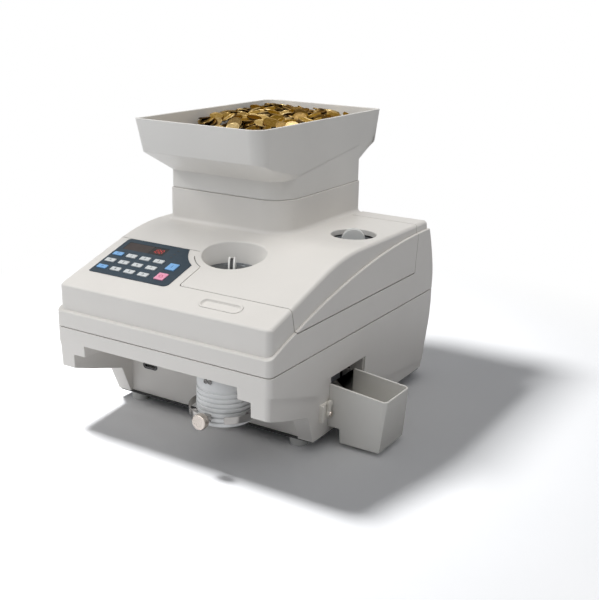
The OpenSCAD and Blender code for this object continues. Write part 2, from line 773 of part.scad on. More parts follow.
module gate_solenoid() color([0.5, 0.45, 0.3]) {
    block(track_x + 20, track_x + 46, gate_y, gate_y + 24, deck_z - deck_t - 26, deck_z - deck_t);
    rod_y(track_x + 33, gate_y - 12, gate_y, deck_z - deck_t - 13, 4);
}

module reject_chute() color([0.7, 0.7, 0.68]) difference() {
    translate([0, gate_y + gate_l / 2, 0]) along_y(gate_l + 12, [
        [track_x - 16, deck_z - deck_t], [track_x + 16, deck_z - deck_t], [track_x + 16, 140],
        [half_w - 22, 84], [half_w - 22, 38], [track_x - 16, 128]]);
    translate([0, gate_y + gate_l / 2, 0]) along_y(gate_l + 9, [
        [track_x - 14.5, deck_z], [track_x + 14.5, deck_z], [track_x + 14.5, 139.4],
        [half_w - 20, 79.6], [half_w - 20, 38.2], [track_x - 14.5, 129]]);
}

module drop_chute() color([0.7, 0.7, 0.68]) difference() {
    rod(tube_x, tube_y, spigot_z, deck_z - deck_t, tube_r - 0.5);
    rod(tube_x, tube_y, spigot_z - over, deck_z, drop_r);
}

// ---------------------------------------------------------------- coin tube and bag clamp

tube_ribs = 7;
rib_pitch = 6;
rib_out = 1;

module coin_tube() color([0.86, 0.86, 0.84]) difference() {
    union() {
        rod(tube_x, tube_y, tube_z, spigot_z, tube_r);
        rod(tube_x, tube_y, lip_z - 3, lip_z, tube_r + 4);
        for (i = [0:tube_ribs - 1])
            rod(tube_x, tube_y, tube_z + i * rib_pitch, tube_z + i * rib_pitch + 3, tube_r + rib_out);
    }
    rod(tube_x, tube_y, tube_z - over, spigot_z + over, tube_r - tube_wall);
    for (side = [-3, 3])
        rod_y(tube_x + side, tube_y - tube_r - 5, tube_y - tube_r + tube_wall - 0.3, lip_z - 7.5, 1.25);
}

module tube_screws() color([0.3, 0.3, 0.32]) for (side = [-3, 3]) {
    rod_y(tube_x + side, tube_y - tube_r - 0.3, tube_y - tube_r + tube_wall - 0.4, lip_z - 7.5, 1.2);
    rod_y(tube_x + side, tube_y - tube_r - 2, tube_y - tube_r - 0.2, lip_z - 7.5, 2.3);
}

screw_x = tube_x + 4;
band_out = band_r + band_t;
knob_y0 = -front_reach;

module clamp_ring() color([0.8, 0.8, 0.82]) difference() {
    union() {
        difference() {
            rod(tube_x, tube_y, band_z - band_w / 2, band_z + band_w / 2, band_out);
            rod(tube_x, tube_y, band_z - band_w, band_z + band_w, band_r);
            translate([tube_x, tube_y, band_z - band_w]) linear_extrude(height = 2 * band_w)
                polygon([[0, 0], [60 * cos(-84), 60 * sin(-84)], [60 * cos(-56), 60 * sin(-56)]]);
        }
        for (a = [-8, 112, 232]) translate([tube_x, tube_y, band_z]) rotate([0, 90, a])
            translate([0, 0, tube_r + rib_out]) cylinder(h = band_out + 0.5 - tube_r - rib_out, r = 2.2);
        block(screw_x - 6, screw_x + 3, tube_y - band_r - 1, tube_y - band_r + 5, band_z - 4.5,
              band_z + 4.5);
    }
    rod_y(screw_x - 1.5, tube_y - band_r - 9, tube_y - band_r + 9, band_z, 2.5 + run_gap);
}

module thumb_screw() color([0.75, 0.72, 0.70]) {
    rod_y(screw_x - 1.5, knob_y0, knob_y0 + 9, band_z, 8.5);
    rod_y(screw_x - 1.5, knob_y0 + 8, tube_y - tube_r - rib_out - rest_gap, band_z, 2.5);
}

// ---------------------------------------------------------------- panel, keys and button

module control_panel() color([0.22, 0.28, 0.33]) difference() {
    on_slope() linear_extrude(height = overlay_t) difference() {
        polygon(round_rect(panel_x0, panel_u0, panel_x1, panel_u1, [2, 7, 1, 5]));
        translate([arc_cx, (arc_cy - slope_y0) / slope_cos]) circle(r = panel_arc_r);
    }
    key_holes();
}

module display_window() color([0.35, 0.1, 0.1, 0.8]) on_slope()
    translate([window_x0, window_u0, -wall]) cube([window_w, window_d, wall + overlay_t - 0.2]);

module control_board() color([0.1, 0.35, 0.2]) on_slope() {
    translate([panel_x0 + 1, panel_u0 + 1, board_h - board_t])
        cube([panel_x1 - panel_x0 - 10, panel_u1 - panel_u0 - 4, board_t]);
    translate([window_x0 + 2, window_u0 + 1, board_h - eps])
        cube([window_w - 4, window_d - 2, -board_h - wall - 0.2]);
}

module key_cap(x, u, w, d) on_slope() translate([x, u, 0]) {
    translate([-w / 2, -d / 2, -5]) cube([w, d, 5.2 + overlay_t + key_travel]);
    translate([-w / 2 - 0.8, -d / 2 - 0.6, -6]) cube([w + 1.6, d + 1.2, 1.6]);
}

module small_key(row, col, shade) color(shade)
    key_cap(key_x0 + (col - 1) * key_pitch_x, key_u0 - (row - 1) * key_pitch_u, key_w, key_d);

module large_key(row, shade) color(shade)
    key_cap(big_key_x, key_u0 - 5.8 - row * 22.8, big_key, big_key);

module release_button() color([0.9, 0.89, 0.86]) on_slope() translate([button_x, button_u, 0]) {
    pill(button_w - 0.8, button_d - 0.8, -6, 0.6);
    pill(button_w + 2, button_d + 2, -wall - 1 - button_travel, -wall - 0.4);
}

// ---------------------------------------------------------------- dials and sorting settings

module grip(z, angle) rotate([0, 0, angle]) for (side = [-1, 1])
    intersection() {
        translate([0, side * blade_gap / 2, z]) rotate([90, 0, 0])
            cylinder(h = blade_t, r = grip_r, center = true);
        translate([-grip_r, -grip_r, z - eps]) cube([2 * grip_r, 2 * grip_r, grip_r + over]);
    }

module dial(x, y, z, r, angle) translate([x, y, 0]) {
    rod(0, 0, z - dial_t, z, r);
    rod(0, 0, dial_low_z, z - dial_t + eps, dial_shaft_r);
    grip(z, angle);
}

module diameter_dial() color([0.92, 0.92, 0.9])
    dial(front_dial_x, front_dial_y, well_floor_z, 31, grip_a - 90);

module thickness_dial() color([0.92, 0.92, 0.9])
    dial(rear_dial_x, rear_dial_y, rear_dial_z, 28, grip_a);

module diameter_rail() color("silver") union() {
    block(rail_x1 - 4, rail_x1, tube_y + 30, -14, deck_z + rest_gap, track_floor_z + rail_h - 2);
    block(rail_x1 - 12, rail_x1 - 3, front_dial_y + 12, front_dial_y + 30, deck_z + rest_gap,
          deck_z + 3);
}

module thickness_gate() color("silver") union() {
    block(track_x - 10, track_x + 10, 34, 44, track_floor_z + 3, track_floor_z + 18);
    block(track_x + 8, track_x + 27, 37, 41, track_floor_z + 13, track_floor_z + 18);
}

// ---------------------------------------------------------------- electrics

module main_board() color([0.1, 0.4, 0.22]) {
    block(main_x, main_x + 150, main_y, main_y + 110, floor_z + 8, floor_z + 9.6);
    for (x = [main_x + 8, main_x + 142], y = [main_y + 8, main_y + 102])
        rod(x, y, floor_z, floor_z + 8, 3);
    block(main_x + 30, main_x + 60, main_y + 30, main_y + 60, floor_z + 9.6, floor_z + 13);
    block(main_x + 80, main_x + 105, main_y + 40, main_y + 80, floor_z + 9.6, floor_z + 22);
    block(main_x + 115, main_x + 138, main_y + 10, main_y + 30, floor_z + 9.6, floor_z + 18);
}

module power_supply() color([0.35, 0.35, 0.38]) {
    block(supply_x - 34, supply_x + 34, supply_y - 32, supply_y + 32, floor_z, floor_z + 2);
    block(supply_x - 26, supply_x + 26, supply_y - 24, supply_y + 24, floor_z + 2, floor_z + 44);
    block(supply_x - 16, supply_x + 16, supply_y - 30, supply_y + 30, floor_z + 8, floor_z + 38);
}

module power_inlet() color([0.1, 0.1, 0.1]) difference() {
    union() {
        block(inlet_x - 17.9, inlet_x + 17.9, socket_y - 26, socket_y, socket_z - 11.9, socket_z + 11.9);
        block(switch_x - 10.9, switch_x + 10.9, socket_y - 22, socket_y, socket_z - 11.9,
              socket_z + 11.9);
    }
    block(inlet_x - 12, inlet_x + 12, socket_y - 16, socket_y + over, socket_z - 8, socket_z + 8);
    block(switch_x - 7, switch_x + 7, socket_y - 10, socket_y + over, socket_z - 10, socket_z + 10);
}

module power_switch() color([0.15, 0.15, 0.15])
    translate([switch_x, socket_y - 3, socket_z]) rotate([8, 0, 0]) union() {
        cube([13.4, 5, 18], center = true);
        rotate([0, 90, 0]) cylinder(h = 13.4, r = 4, center = true);
    }

module port_shape(y0, y1, grow) translate([-102, y1, 54]) rotate([90, 0, 0])
    pill(24 + 2 * grow, 9 + 2 * grow, 0, y1 - y0);

module data_port() color([0.15, 0.15, 0.16]) difference() {
    port_shape(base_front_y - 1, base_front_y + 14, 0);
    translate([-102, base_front_y + 6, 54]) rotate([90, 0, 0]) pill(20, 6, 0, 10);
}

// ---------------------------------------------------------------- reject tray

module tray_box(t, top) intersection() {
    translate([0, (tray_y0 + tray_y1) / 2, 0]) along_y(tray_y1 - tray_y0 - 2 * t, [
        [half_w - 6 - (t > 0 ? 5 : 0), sill_z + t], [half_w + 12 + t, sill_z + t],
        [half_w + 13 + t, tray_z0 + t], [tray_x1 - 7 - t, tray_z0 + t], [tray_x1 - t, tray_z1 - 8],
        [tray_x1 - t, tray_z1 - 8 + top], [half_w - 6 - (t > 0 ? 5 : 0), tray_z1 + top]]);
    slab(0, 200, inset_rect(half_w - 20, tray_y0, tray_x1, tray_y1, [1.5, 7, 7, 1.5], t));
}

module tray_tongue(t) block(half_w - 19.5, half_w + 2, open_y0 + 0.5 + t, tray_y1 - 0.5 - t,
                            sill_z + rest_gap + t, open_z1 - 10 + 2 * t);

module tray() color([0.84, 0.83, 0.80]) difference() {
    union() {
        difference() {
            tray_box(0, 0);
            lower_solid(-0.4, base_z - over, seam_z);
        }
        tray_tongue(0);
    }
    tray_box(tray_wall, 10);
    translate([-over, 0, 0]) tray_tongue(tray_wall);
}

catch_y = tray_y0 - 6;
catch_z = 43;
hook_r = 4;

module catch_bracket() color([0.9, 0.88, 0.84]) {
    difference() {
        block(half_w - 7.5, half_w - 1.5, catch_y - 16, catch_y + 5, catch_z - 7, catch_z + 15);
        lower_solid(0, base_z, seam_z);
    }
    block(half_w - 1.5, half_w + 1.5, catch_y - 16, catch_y - 12.5, catch_z - 7, catch_z + 15);
    rod_x(half_w - 2, half_w + 3, catch_y, catch_z, 2);
    rod_x(half_w + 3, half_w + 4.6, catch_y, catch_z, 3.6);
}

module tray_catch() color([0.92, 0.9, 0.86]) difference() {
    union() {
        rod_x(half_w - 1.2, half_w + 2.7, catch_y, catch_z, 4.6);
        block(half_w - 1.2, half_w + 2.7, catch_y - 2.5, catch_y + 2.5, catch_z, catch_z + 13);
        rod_x(half_w - 1.2, half_w + 2.7, tray_y0 - rest_gap - hook_r, catch_z + 13.4, hook_r);
    }
    rod_x(half_w - 3, half_w + 4, catch_y, catch_z, 2 + run_gap);
}

// ---------------------------------------------------------------- assembly

module in_frame() translate([shift_x, shift_y, 0]) children();

in_frame() upper_case();
in_frame() lower_case();
in_frame() base_plate();
in_frame() feet();
in_frame() case_screws();
in_frame() mech_deck();
in_frame() deck_posts();
in_frame() control_panel();
in_frame() control_board();
in_frame() display_window();
in_frame() coin_track();
in_frame() feed_bowl();
in_frame() drive_motor();
in_frame() drive_belt();
in_frame() transport_motor();
in_frame() transport_belt();
in_frame() coin_sensor();
in_frame() gate_solenoid();
in_frame() reject_chute();
in_frame() drop_chute();
in_frame() coin_tube();
in_frame() tube_screws();
in_frame() clamp_ring();
in_frame() main_board();
in_frame() power_supply();
in_frame() power_inlet();
in_frame() data_port();
in_frame() hinge_pin();
in_frame() catch_bracket();
in_frame() hood();
in_frame() hopper();
in_frame() release_button();
in_frame() diameter_dial();
in_frame() diameter_rail();
in_frame() thickness_dial();
in_frame() thickness_gate();
in_frame() feed_disc();
in_frame() motor_pulley();
in_frame() drive_roller();
in_frame() idler_roller();
in_frame() reject_gate();
in_frame() tray();
in_frame() tray_catch();
in_frame() thumb_screw();
in_frame() power_switch();
in_frame() small_key(1, 1, [0.45, 0.68, 0.88]);  // key_r1c1
in_frame() small_key(1, 2, [0.82, 0.83, 0.84]);  // key_r1c2
in_frame() small_key(1, 3, [0.82, 0.83, 0.84]);  // key_r1c3
in_frame() small_key(1, 4, [0.82, 0.83, 0.84]);  // key_r1c4
in_frame() small_key(2, 1, [0.82, 0.83, 0.84]);  // key_r2c1
in_frame() small_key(2, 2, [0.82, 0.83, 0.84]);  // key_r2c2
in_frame() small_key(2, 3, [0.82, 0.83, 0.84]);  // key_r2c3
in_frame() small_key(2, 4, [0.82, 0.83, 0.84]);  // key_r2c4
in_frame() small_key(3, 1, [0.45, 0.68, 0.88]);  // key_r3c1
in_frame() small_key(3, 2, [0.82, 0.83, 0.84]);  // key_r3c2
in_frame() small_key(3, 3, [0.82, 0.83, 0.84]);  // key_r3c3
in_frame() small_key(3, 4, [0.82, 0.83, 0.84]);  // key_r3c4
in_frame() large_key(0, [0.45, 0.68, 0.88]);  // key_start
in_frame() large_key(1, [0.93, 0.62, 0.74]);  // key_stop
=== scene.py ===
"""Looks of a desktop coin sorting machine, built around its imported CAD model.

Shapes are made in millimetres from the middle of the case, as in the part's source, and moved into the
shared frame, in metres, when a piece is finished."""
import random
from contextlib import contextmanager
from math import asin, atan, cos, degrees, pi, radians, sin, sqrt, tan

import bmesh
import bpy
import numpy as np
from mathutils import Matrix, Vector


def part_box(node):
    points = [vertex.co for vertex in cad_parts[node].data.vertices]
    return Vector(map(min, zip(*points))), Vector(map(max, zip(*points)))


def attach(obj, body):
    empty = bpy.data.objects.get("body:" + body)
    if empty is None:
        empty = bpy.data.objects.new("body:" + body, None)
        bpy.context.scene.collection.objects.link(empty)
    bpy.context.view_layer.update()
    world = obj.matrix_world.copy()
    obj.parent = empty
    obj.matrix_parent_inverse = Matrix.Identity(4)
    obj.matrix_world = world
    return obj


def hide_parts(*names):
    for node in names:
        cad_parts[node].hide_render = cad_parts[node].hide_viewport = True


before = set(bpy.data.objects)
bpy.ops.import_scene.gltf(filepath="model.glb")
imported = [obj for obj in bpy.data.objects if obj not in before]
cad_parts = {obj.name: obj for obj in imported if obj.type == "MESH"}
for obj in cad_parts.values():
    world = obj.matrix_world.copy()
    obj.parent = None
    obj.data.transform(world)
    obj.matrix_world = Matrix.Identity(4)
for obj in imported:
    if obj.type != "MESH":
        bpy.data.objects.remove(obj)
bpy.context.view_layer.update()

# ---- sizes, in millimetres

SHIFT = Vector((-37.5, -3.5, 0.0))          # from the middle of the case to the shared frame
HALF_W, HALF_D, CROWN_W = 160.0, 213.3, 156.6
FAR_X = HALF_W + 5                          # beyond the side walls
WALL = 3.0
SEAM_Z, TOP_Z = 130.5, 235.0
SLOPE_Y, FRONT_TOP_Z, SLOPE_A = -209.0, 185.0, radians(17.66)
ROUND_Y = -95.0
ROUND_Z = FRONT_TOP_Z + (ROUND_Y - SLOPE_Y) * tan(SLOPE_A)
ROUND_R = (TOP_Z - ROUND_Z) / (1 - cos(SLOPE_A))
ROUND_C = (ROUND_Y + ROUND_R * sin(SLOPE_A), TOP_Z - ROUND_R)
HINGE_Y, HINGE_Z, HINGE_PIN_R = 180.0, 224.5, 2.55
REAR_R = TOP_Z - HINGE_Z
BULGE_Z = 118.0
REAR_FALL = (HALF_D - HINGE_Y - REAR_R) / (HINGE_Z - BULGE_Z) ** 2
LEDGE_Z, LEDGE_Y, LEDGE_FALL = 223.5, 170.0, 0.000489
FRONT_R, REAR_CORNER_R, EDGE_R, TOP_EDGE_R = 8.0, 5.5, 5.0, 3.5
SEAM_GAP, CASE_GAP = 1.2, 0.8
CASE_POSTS = [(x, y) for x in (-148.5, 148.5) for y in (-88.0, 172.0)]
POST_R = 6.0
NECK = (-134.2, -15.5, 49.2, 190.0)
NECK_RADII, FOOT_R = (6.0, 40.0, 9.0, 9.0), 6.0
NECK_Z, RIM_Z, FLARE_Z, BOWL_Z = 279.0, 377.0, 303.0, 333.0
RIM = (-139.5, -80.0, 54.0, 233.0)
TUBE = (68.0, -170.0)
TUBE_R, TUBE_Z, TUBE_TOP, BAND_Z = 33.5, 50.0, 117.0, 62.0
DISC = (-42.0, 88.0)
FRONT_DIAL, REAR_DIAL = (20.0, -88.0), (112.0, 55.0)
WELL_AT, WELL_A, WELL_B = (21.0, -85.0), 42.8, 33.2
PANEL = (-139.0, 37.0, -15.0, 120.0)
SMALL_KEYS = {f"key_r{row + 1}c{col + 1}": (PANEL[0] + 12 + col * 22, PANEL[3] - 37.7 - row * 16)
              for row in range(3) for col in range(4)}
LARGE_KEYS = {"key_start": (PANEL[2] - 20.5, PANEL[3] - 43.5),
              "key_stop": (PANEL[2] - 20.5, PANEL[3] - 66.3)}
BUTTON = (73.0, 25.0)
BUTTON_W, BUTTON_D = 60.0, 19.0
CONTROL_FACE = Matrix.Translation((0, SLOPE_Y, FRONT_TOP_Z)) @ Matrix.Rotation(SLOPE_A, 4, "X")


def rear_y(z):
    """How far back the bulging rear wall reaches at a height."""
    return HALF_D - REAR_FALL * (z - BULGE_Z) ** 2


def ledge_at(y):
    """Height of the ledge that runs around the case."""
    return LEDGE_Z - LEDGE_FALL * (LEDGE_Y - y) ** 2


def surface_z(y):
    """Height of the upper case's top face at a distance along the machine."""
    if y <= ROUND_Y:
        return FRONT_TOP_Z + (y - SLOPE_Y) * tan(SLOPE_A)
    if y < ROUND_C[0]:
        return ROUND_C[1] + sqrt(ROUND_R ** 2 - (y - ROUND_C[0]) ** 2)
    return TOP_Z


# ---- outlines

def arc(cx, cy, r, a0, a1, n):
    """Points on a circle, from angle a0 to a1 in degrees."""
    angles = [radians(a0 + (a1 - a0) * i / n) for i in range(n + 1)]
    return [(cx + r * cos(a), cy + r * sin(a)) for a in angles]


def circle(cx, cy, r, n):
    return arc(cx, cy, r, 0, 360, n)[:-1]


def round_rect(x0, y0, x1, y1, radii, n=10):
    """Rounded rectangle with its front left, front right, rear right and rear left radii."""
    a, b, c, d = radii
    return (arc(x0 + a, y0 + a, a, 180, 270, n) + arc(x1 - b, y0 + b, b, 270, 360, n)
            + arc(x1 - c, y1 - c, c, 0, 90, n) + arc(x0 + d, y1 - d, d, 90, 180, n))


def inset_rect(rect, radii, t, n=16, least=0.8):
    x0, y0, x1, y1 = rect
    return round_rect(x0 + t, y0 + t, x1 - t, y1 - t, [max(r - t, least) for r in radii], n)


def key_outline(w, d, r=0.6):
    return round_rect(-w / 2, -d / 2, w / 2, d / 2, [r] * 4, 4)


def pill_outline(w, d, n, x=0.0, y=0.0):
    """An outline with round ends, around a place."""
    r = d / 2
    return arc(x - w / 2 + r, y, r, 90, 270, n) + arc(x + w / 2 - r, y, r, 270, 450, n)


def at_level(points, z):
    """The same outline at a height."""
    return [(*point[:2], z) for point in points]


def mix(a, b, g):
    """The point that lies at the share g of the way from a to b."""
    return tuple(p + (q - p) * g for p, q in zip(a, b))


def between(ring, other, g):
    return [mix(p, q, g) for p, q in zip(ring, other)]


# ---- mesh tools

def add_object(name, data):
    obj = bpy.data.objects.new(name, data)
    bpy.context.scene.collection.objects.link(obj)
    return obj


@contextmanager
def edited(mesh):
    """Opens a mesh for bmesh, and writes it back."""
    bm = bmesh.new()
    bm.from_mesh(mesh)
    yield bm
    bm.to_mesh(mesh)
    bm.free()


def raw(verts, faces):
    """A new object, in millimetres, with outward faces."""
    mesh = bpy.data.meshes.new("tool")
    mesh.from_pydata([tuple(v) for v in verts], [], faces)
    with edited(mesh) as bm:
        bmesh.ops.remove_doubles(bm, verts=bm.verts, dist=1e-4)
        bmesh.ops.dissolve_degenerate(bm, dist=1e-5, edges=bm.edges)
        bmesh.ops.recalc_face_normals(bm, faces=bm.faces)
    return add_object("tool", mesh)


def along(axis, u, v, h):
    """The point at height h on an axis, with u and v across it."""
    return {"z": (u, v, h), "x": (h, u, v), "y": (u, h, v)}[axis]


def prism(points, lo, hi, axis="z"):
    """A straight prism of a closed outline: (x, y) along z, (y, z) along x, or (x, z) along y."""
    n = len(points)
    verts = [along(axis, *p, h) for h in (lo, hi) for p in points]
    faces = [tuple(range(n)), tuple(range(2 * n - 1, n - 1, -1))]
    return raw(verts, faces + [(i, (i + 1) % n, (i + 1) % n + n, i + n) for i in range(n)])


def around(middle, width):
    return middle - width / 2, middle + width / 2


def block(x0, x1, y0, y1, z0, z1):
    return prism([(x0, y0), (x1, y0), (x1, y1), (x0, y1)], z0, z1)


def ring_faces(rings, n, start=0, wrap=False):
    """The faces between rings of n points each, which are numbered from start."""
    faces = []
    for k in range(rings if wrap else rings - 1):
        a, b = start + k * n, start + (k + 1) % rings * n
        faces += [(a + i, a + (i + 1) % n, b + (i + 1) % n, b + i) for i in range(n)]
    return faces


def loft(rings, wrap=False):
    """Skin over rings of 3-D points of equal count. wrap joins the last ring to the first."""
    n = len(rings[0])
    faces = ring_faces(len(rings), n, wrap=wrap)
    if not wrap:
        faces += [tuple(range(n)), tuple(range((len(rings) - 1) * n, len(rings) * n))]
    return raw([p for ring in rings for p in ring], faces)


def lathe(profile, centre, n, axis="z"):
    """A closed profile of (radius, height) points, turned about an axis through centre."""
    rings = []
    for k in range(n):
        c, s = cos(2 * pi * k / n), sin(2 * pi * k / n)
        places = [along(axis, r * c, r * s, h) for r, h in profile]
        rings.append([tuple(p + q for p, q in zip(centre, place)) for place in places])
    return loft(rings, wrap=True)


def bake(obj):
    """Applies every modifier of an object to its mesh."""
    graph = bpy.context.evaluated_depsgraph_get()
    mesh = bpy.data.meshes.new_from_object(obj.evaluated_get(graph))
    obj.modifiers.clear()
    old, obj.data = obj.data, mesh
    bpy.data.meshes.remove(old)
    return obj


def boolean(target, tools, operation):
    """Adds, cuts or keeps what is shared with each tool, which is used up."""
    for tool in tools:
        mod = target.modifiers.new("boolean", "BOOLEAN")
        mod.object, mod.operation, mod.solver = tool, operation, "MANIFOLD"
        bake(target)
        bpy.data.objects.remove(tool)
    return target


def cut(target, *tools):
    return boolean(target, tools, "DIFFERENCE")


def join(target, *tools):
    return boolean(target, tools, "UNION")


def keep(target, tool):
    return boolean(target, [tool], "INTERSECT")


def tidy_faces(obj, angle=0.2, gap=0.002):
    """Joins the triangles that a boolean leaves on a flat face."""
    with edited(obj.data) as bm:
        bmesh.ops.remove_doubles(bm, verts=bm.verts, dist=gap)
        bmesh.ops.dissolve_limit(bm, angle_limit=radians(angle), verts=bm.verts, edges=bm.edges)
    return obj


def bevel(obj, width, segments=2, angle=40.0):
    mod = obj.modifiers.new("bevel", "BEVEL")
    mod.width, mod.segments, mod.limit_method = width, segments, "ANGLE"
    mod.angle_limit, mod.use_clamp_overlap, mod.miter_outer = radians(angle), False, "MITER_ARC"
    return bake(obj)


def merge(objects, alike=False):
    """One object of several. Each has its own material index, or all have the first if they are alike."""
    mesh = bpy.data.meshes.new("merged")
    with edited(mesh) as bm:
        for index, obj in enumerate(objects):
            first = len(bm.faces)
            bm.from_mesh(obj.data)
            bm.faces.ensure_lookup_table()
            for face in bm.faces[first:]:
                face.material_index = 0 if alike else index
            bpy.data.objects.remove(obj)
    return add_object("merged", mesh)


def slope_prism(points, h0, h1, x=0.0, u=0.0):
    """A prism that stands on the control face, at x and a distance u up the face."""
    tool = prism(points, h0, h1)
    tool.data.transform(CONTROL_FACE @ Matrix.Translation((x, u, 0)))
    return tool


def finish_piece(obj, name, body, materials, replaces=None, smooth=32.0, weighted=True):
    """Moves a piece from millimetres into the shared frame, shades it and ties it to its body.

    materials names one material, or one for each index of a merged piece."""
    names = [materials] if isinstance(materials, str) else materials
    obj.name = obj.data.name = name
    obj.data.transform(Matrix.Scale(0.001, 4) @ Matrix.Translation(SHIFT) @ obj.matrix_world)
    obj.matrix_world = Matrix.Identity(4)
    obj.data.polygons.foreach_set("use_smooth", [True] * len(obj.data.polygons))
    obj.data.set_sharp_from_angle(angle=radians(smooth))
    if weighted:
        obj.modifiers.new("normals", "WEIGHTED_NORMAL").keep_sharp = True
        bake(obj)
    index = [face.material_index if len(names) > 1 else 0 for face in obj.data.polygons]
    obj.data.materials.clear()
    for material in names:
        obj.data.materials.append(MATERIALS[material])
    obj.data.polygons.foreach_set("material_index", index)
    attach(obj, body)
    if replaces:
        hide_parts(replaces)


def cad_copy(node):
    """A copy of a CAD node's mesh, in millimetres."""
    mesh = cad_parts[node].data.copy()
    mesh.transform(Matrix.Translation(-SHIFT) @ Matrix.Scale(1000.0, 4))
    return add_object(node + "_look", mesh)


def softened(node, body, material, width, segments):
    """A copy of a CAD node with its hard edges rounded, which stands for the node."""
    obj = tidy_faces(cad_copy(node), 1.0, 0.003)
    finish_piece(bevel(obj, width, segments, 35), node + "_look", body, material, node)


# ---- materials

MATERIALS = {}


def fill(tree, node, inputs):
    """Sets a node's inputs, each to a value or to the output of another node."""
    for key, value in inputs.items():
        if isinstance(value, bpy.types.NodeSocket):
            tree.links.new(value, node.inputs[key])
        else:
            node.inputs[key].default_value = value


def add_node(tree, kind, output, inputs=None, **settings):
    """A new shader node; returns the output of that name."""
    node = tree.nodes.new("ShaderNode" + kind)
    for key, value in settings.items():
        setattr(node, key, value)
    fill(tree, node, inputs or {})
    return node.outputs[output]


def node_material(name, inputs):
    """A Principled material, kept by its name; returns its node tree and shader."""
    material = bpy.data.materials.new(name)
    material.use_nodes = True
    MATERIALS[name] = material
    shader = material.node_tree.nodes["Principled BSDF"]
    fill(material.node_tree, shader, inputs)
    return material.node_tree, shader


def noise(tree, scale, detail=3.0, rough=0.5, stretch=None):
    """Noise over object coordinates, in metres."""
    place = add_node(tree, "TexCoord", "Object")
    if stretch:
        place = add_node(tree, "Mapping", "Vector", {"Vector": place, "Scale": stretch})
    inputs = {"Vector": place, "Scale": scale, "Detail": detail, "Roughness": rough}
    return add_node(tree, "TexNoise", "Fac", inputs)


def ramp(tree, factor, *stops):
    """Colours by a factor, from stops of (place, colour)."""
    node = tree.nodes.new("ShaderNodeValToRGB")
    ends = node.color_ramp.elements
    while len(ends) < len(stops):
        ends.new(0.5)
    for end, (place, colour) in zip(ends, stops):
        end.position, end.color = place, (*colour, 1.0)
    fill(tree, node, {"Fac": factor})
    return node.outputs["Color"]


def spread(tree, factor, low, high):
    """The middle of a noise, 0.3 to 0.7, spread over low to high."""
    inputs = {"Value": factor, "From Min": 0.3, "From Max": 0.7, "To Min": low, "To Max": high}
    return add_node(tree, "MapRange", "Result", inputs)


def bump(tree, height, strength, distance):
    return add_node(tree, "Bump", "Normal", {"Height": height, "Strength": strength, "Distance": distance})


def tones(tree, factor, colour, darker, lighter):
    """A colour that drifts between a darker and a lighter share of itself."""
    low, high = ([min(c * share, 1.0) for c in colour] for share in (darker, lighter))
    return ramp(tree, factor, (0.3, low), (0.7, high))


def plastic(name, colour, rough, grain=900.0, strength=0.25, tint=0.02, specular=0.5):
    """Moulded plastic: faint cloudy colour, fine moulded grain, uneven gloss."""
    tree, shader = node_material(name, {"Roughness": rough, "Specular IOR Level": specular})
    fill(tree, shader, {
        "Base Color": tones(tree, noise(tree, 14.0, 4.0), colour, 1 - tint, 1 + tint * 0.5),
        "Roughness": spread(tree, noise(tree, 120.0), rough - 0.05, rough + 0.06),
        "Normal": bump(tree, noise(tree, grain, 2.0), strength, 0.00003)})


def metal(name, colour, rough, stretch=(1.0, 1.0, 30.0), scale=160.0, tint=0.08):
    """Metal with fine lines along one axis and small changes of tone."""
    tree, shader = node_material(name, {"Metallic": 1.0, "Roughness": rough})
    lines = noise(tree, scale, 5.0, 0.6, stretch)
    fill(tree, shader, {
        "Base Color": tones(tree, lines, colour, 1 - tint, 1 + tint),
        "Roughness": spread(tree, lines, rough * 0.8, rough * 1.25),
        "Normal": bump(tree, lines, 0.3, 0.00002)})


# colour, roughness, scale of the grain, its strength, drift of the colour, specular level
PLASTICS = {
    "case_plastic": ((0.79, 0.765, 0.73), 0.46),
    "hopper_plastic": ((0.80, 0.785, 0.755), 0.48),
    "tray_plastic": ((0.70, 0.685, 0.65), 0.5),
    "tube_plastic": ((0.74, 0.745, 0.745), 0.42),
    "pale_plastic": ((0.84, 0.81, 0.75), 0.35),
    "panel_film": ((0.030, 0.050, 0.070), 0.5, 1500.0, 0.25, 0.12, 0.2),
    "key_grey": ((0.66, 0.69, 0.70), 0.42, 900.0, 0.25, 0.03),
    "key_blue": ((0.20, 0.45, 0.80), 0.42, 900.0, 0.25, 0.04),
    "key_pink": ((0.90, 0.36, 0.52), 0.42, 900.0, 0.25, 0.04),
    "key_ink": ((0.02, 0.025, 0.035), 0.5),
    "key_ink_blue": ((0.03, 0.09, 0.30), 0.5),
    "key_ink_red": ((0.45, 0.02, 0.08), 0.5),
    "dial_white": ((0.84, 0.84, 0.82), 0.3),
    "black_plastic": ((0.02, 0.02, 0.022), 0.5, 900.0, 0.25, 0.2),
    "foot_rubber": ((0.60, 0.595, 0.58), 0.7, 500.0, 0.4),
    # painted shade: the base plate is dark so that its edge under the case looks shaded
    "plate_dark_shade": ((0.035, 0.035, 0.038), 0.65, 300.0, 0.5, 0.2),
    "belt_rubber": ((0.02, 0.02, 0.02), 0.75, 700.0, 0.5, 0.3),
    "board_green": ((0.015, 0.11, 0.04), 0.35, 900.0, 0.25, 0.3),
    "window_dark": ((0.006, 0.004, 0.004), 0.3, 60.0, 0.02, 0.3, 0.2),
    "window_brown": ((0.030, 0.017, 0.014), 0.35, 60.0, 0.02, 0.3, 0.25),
}
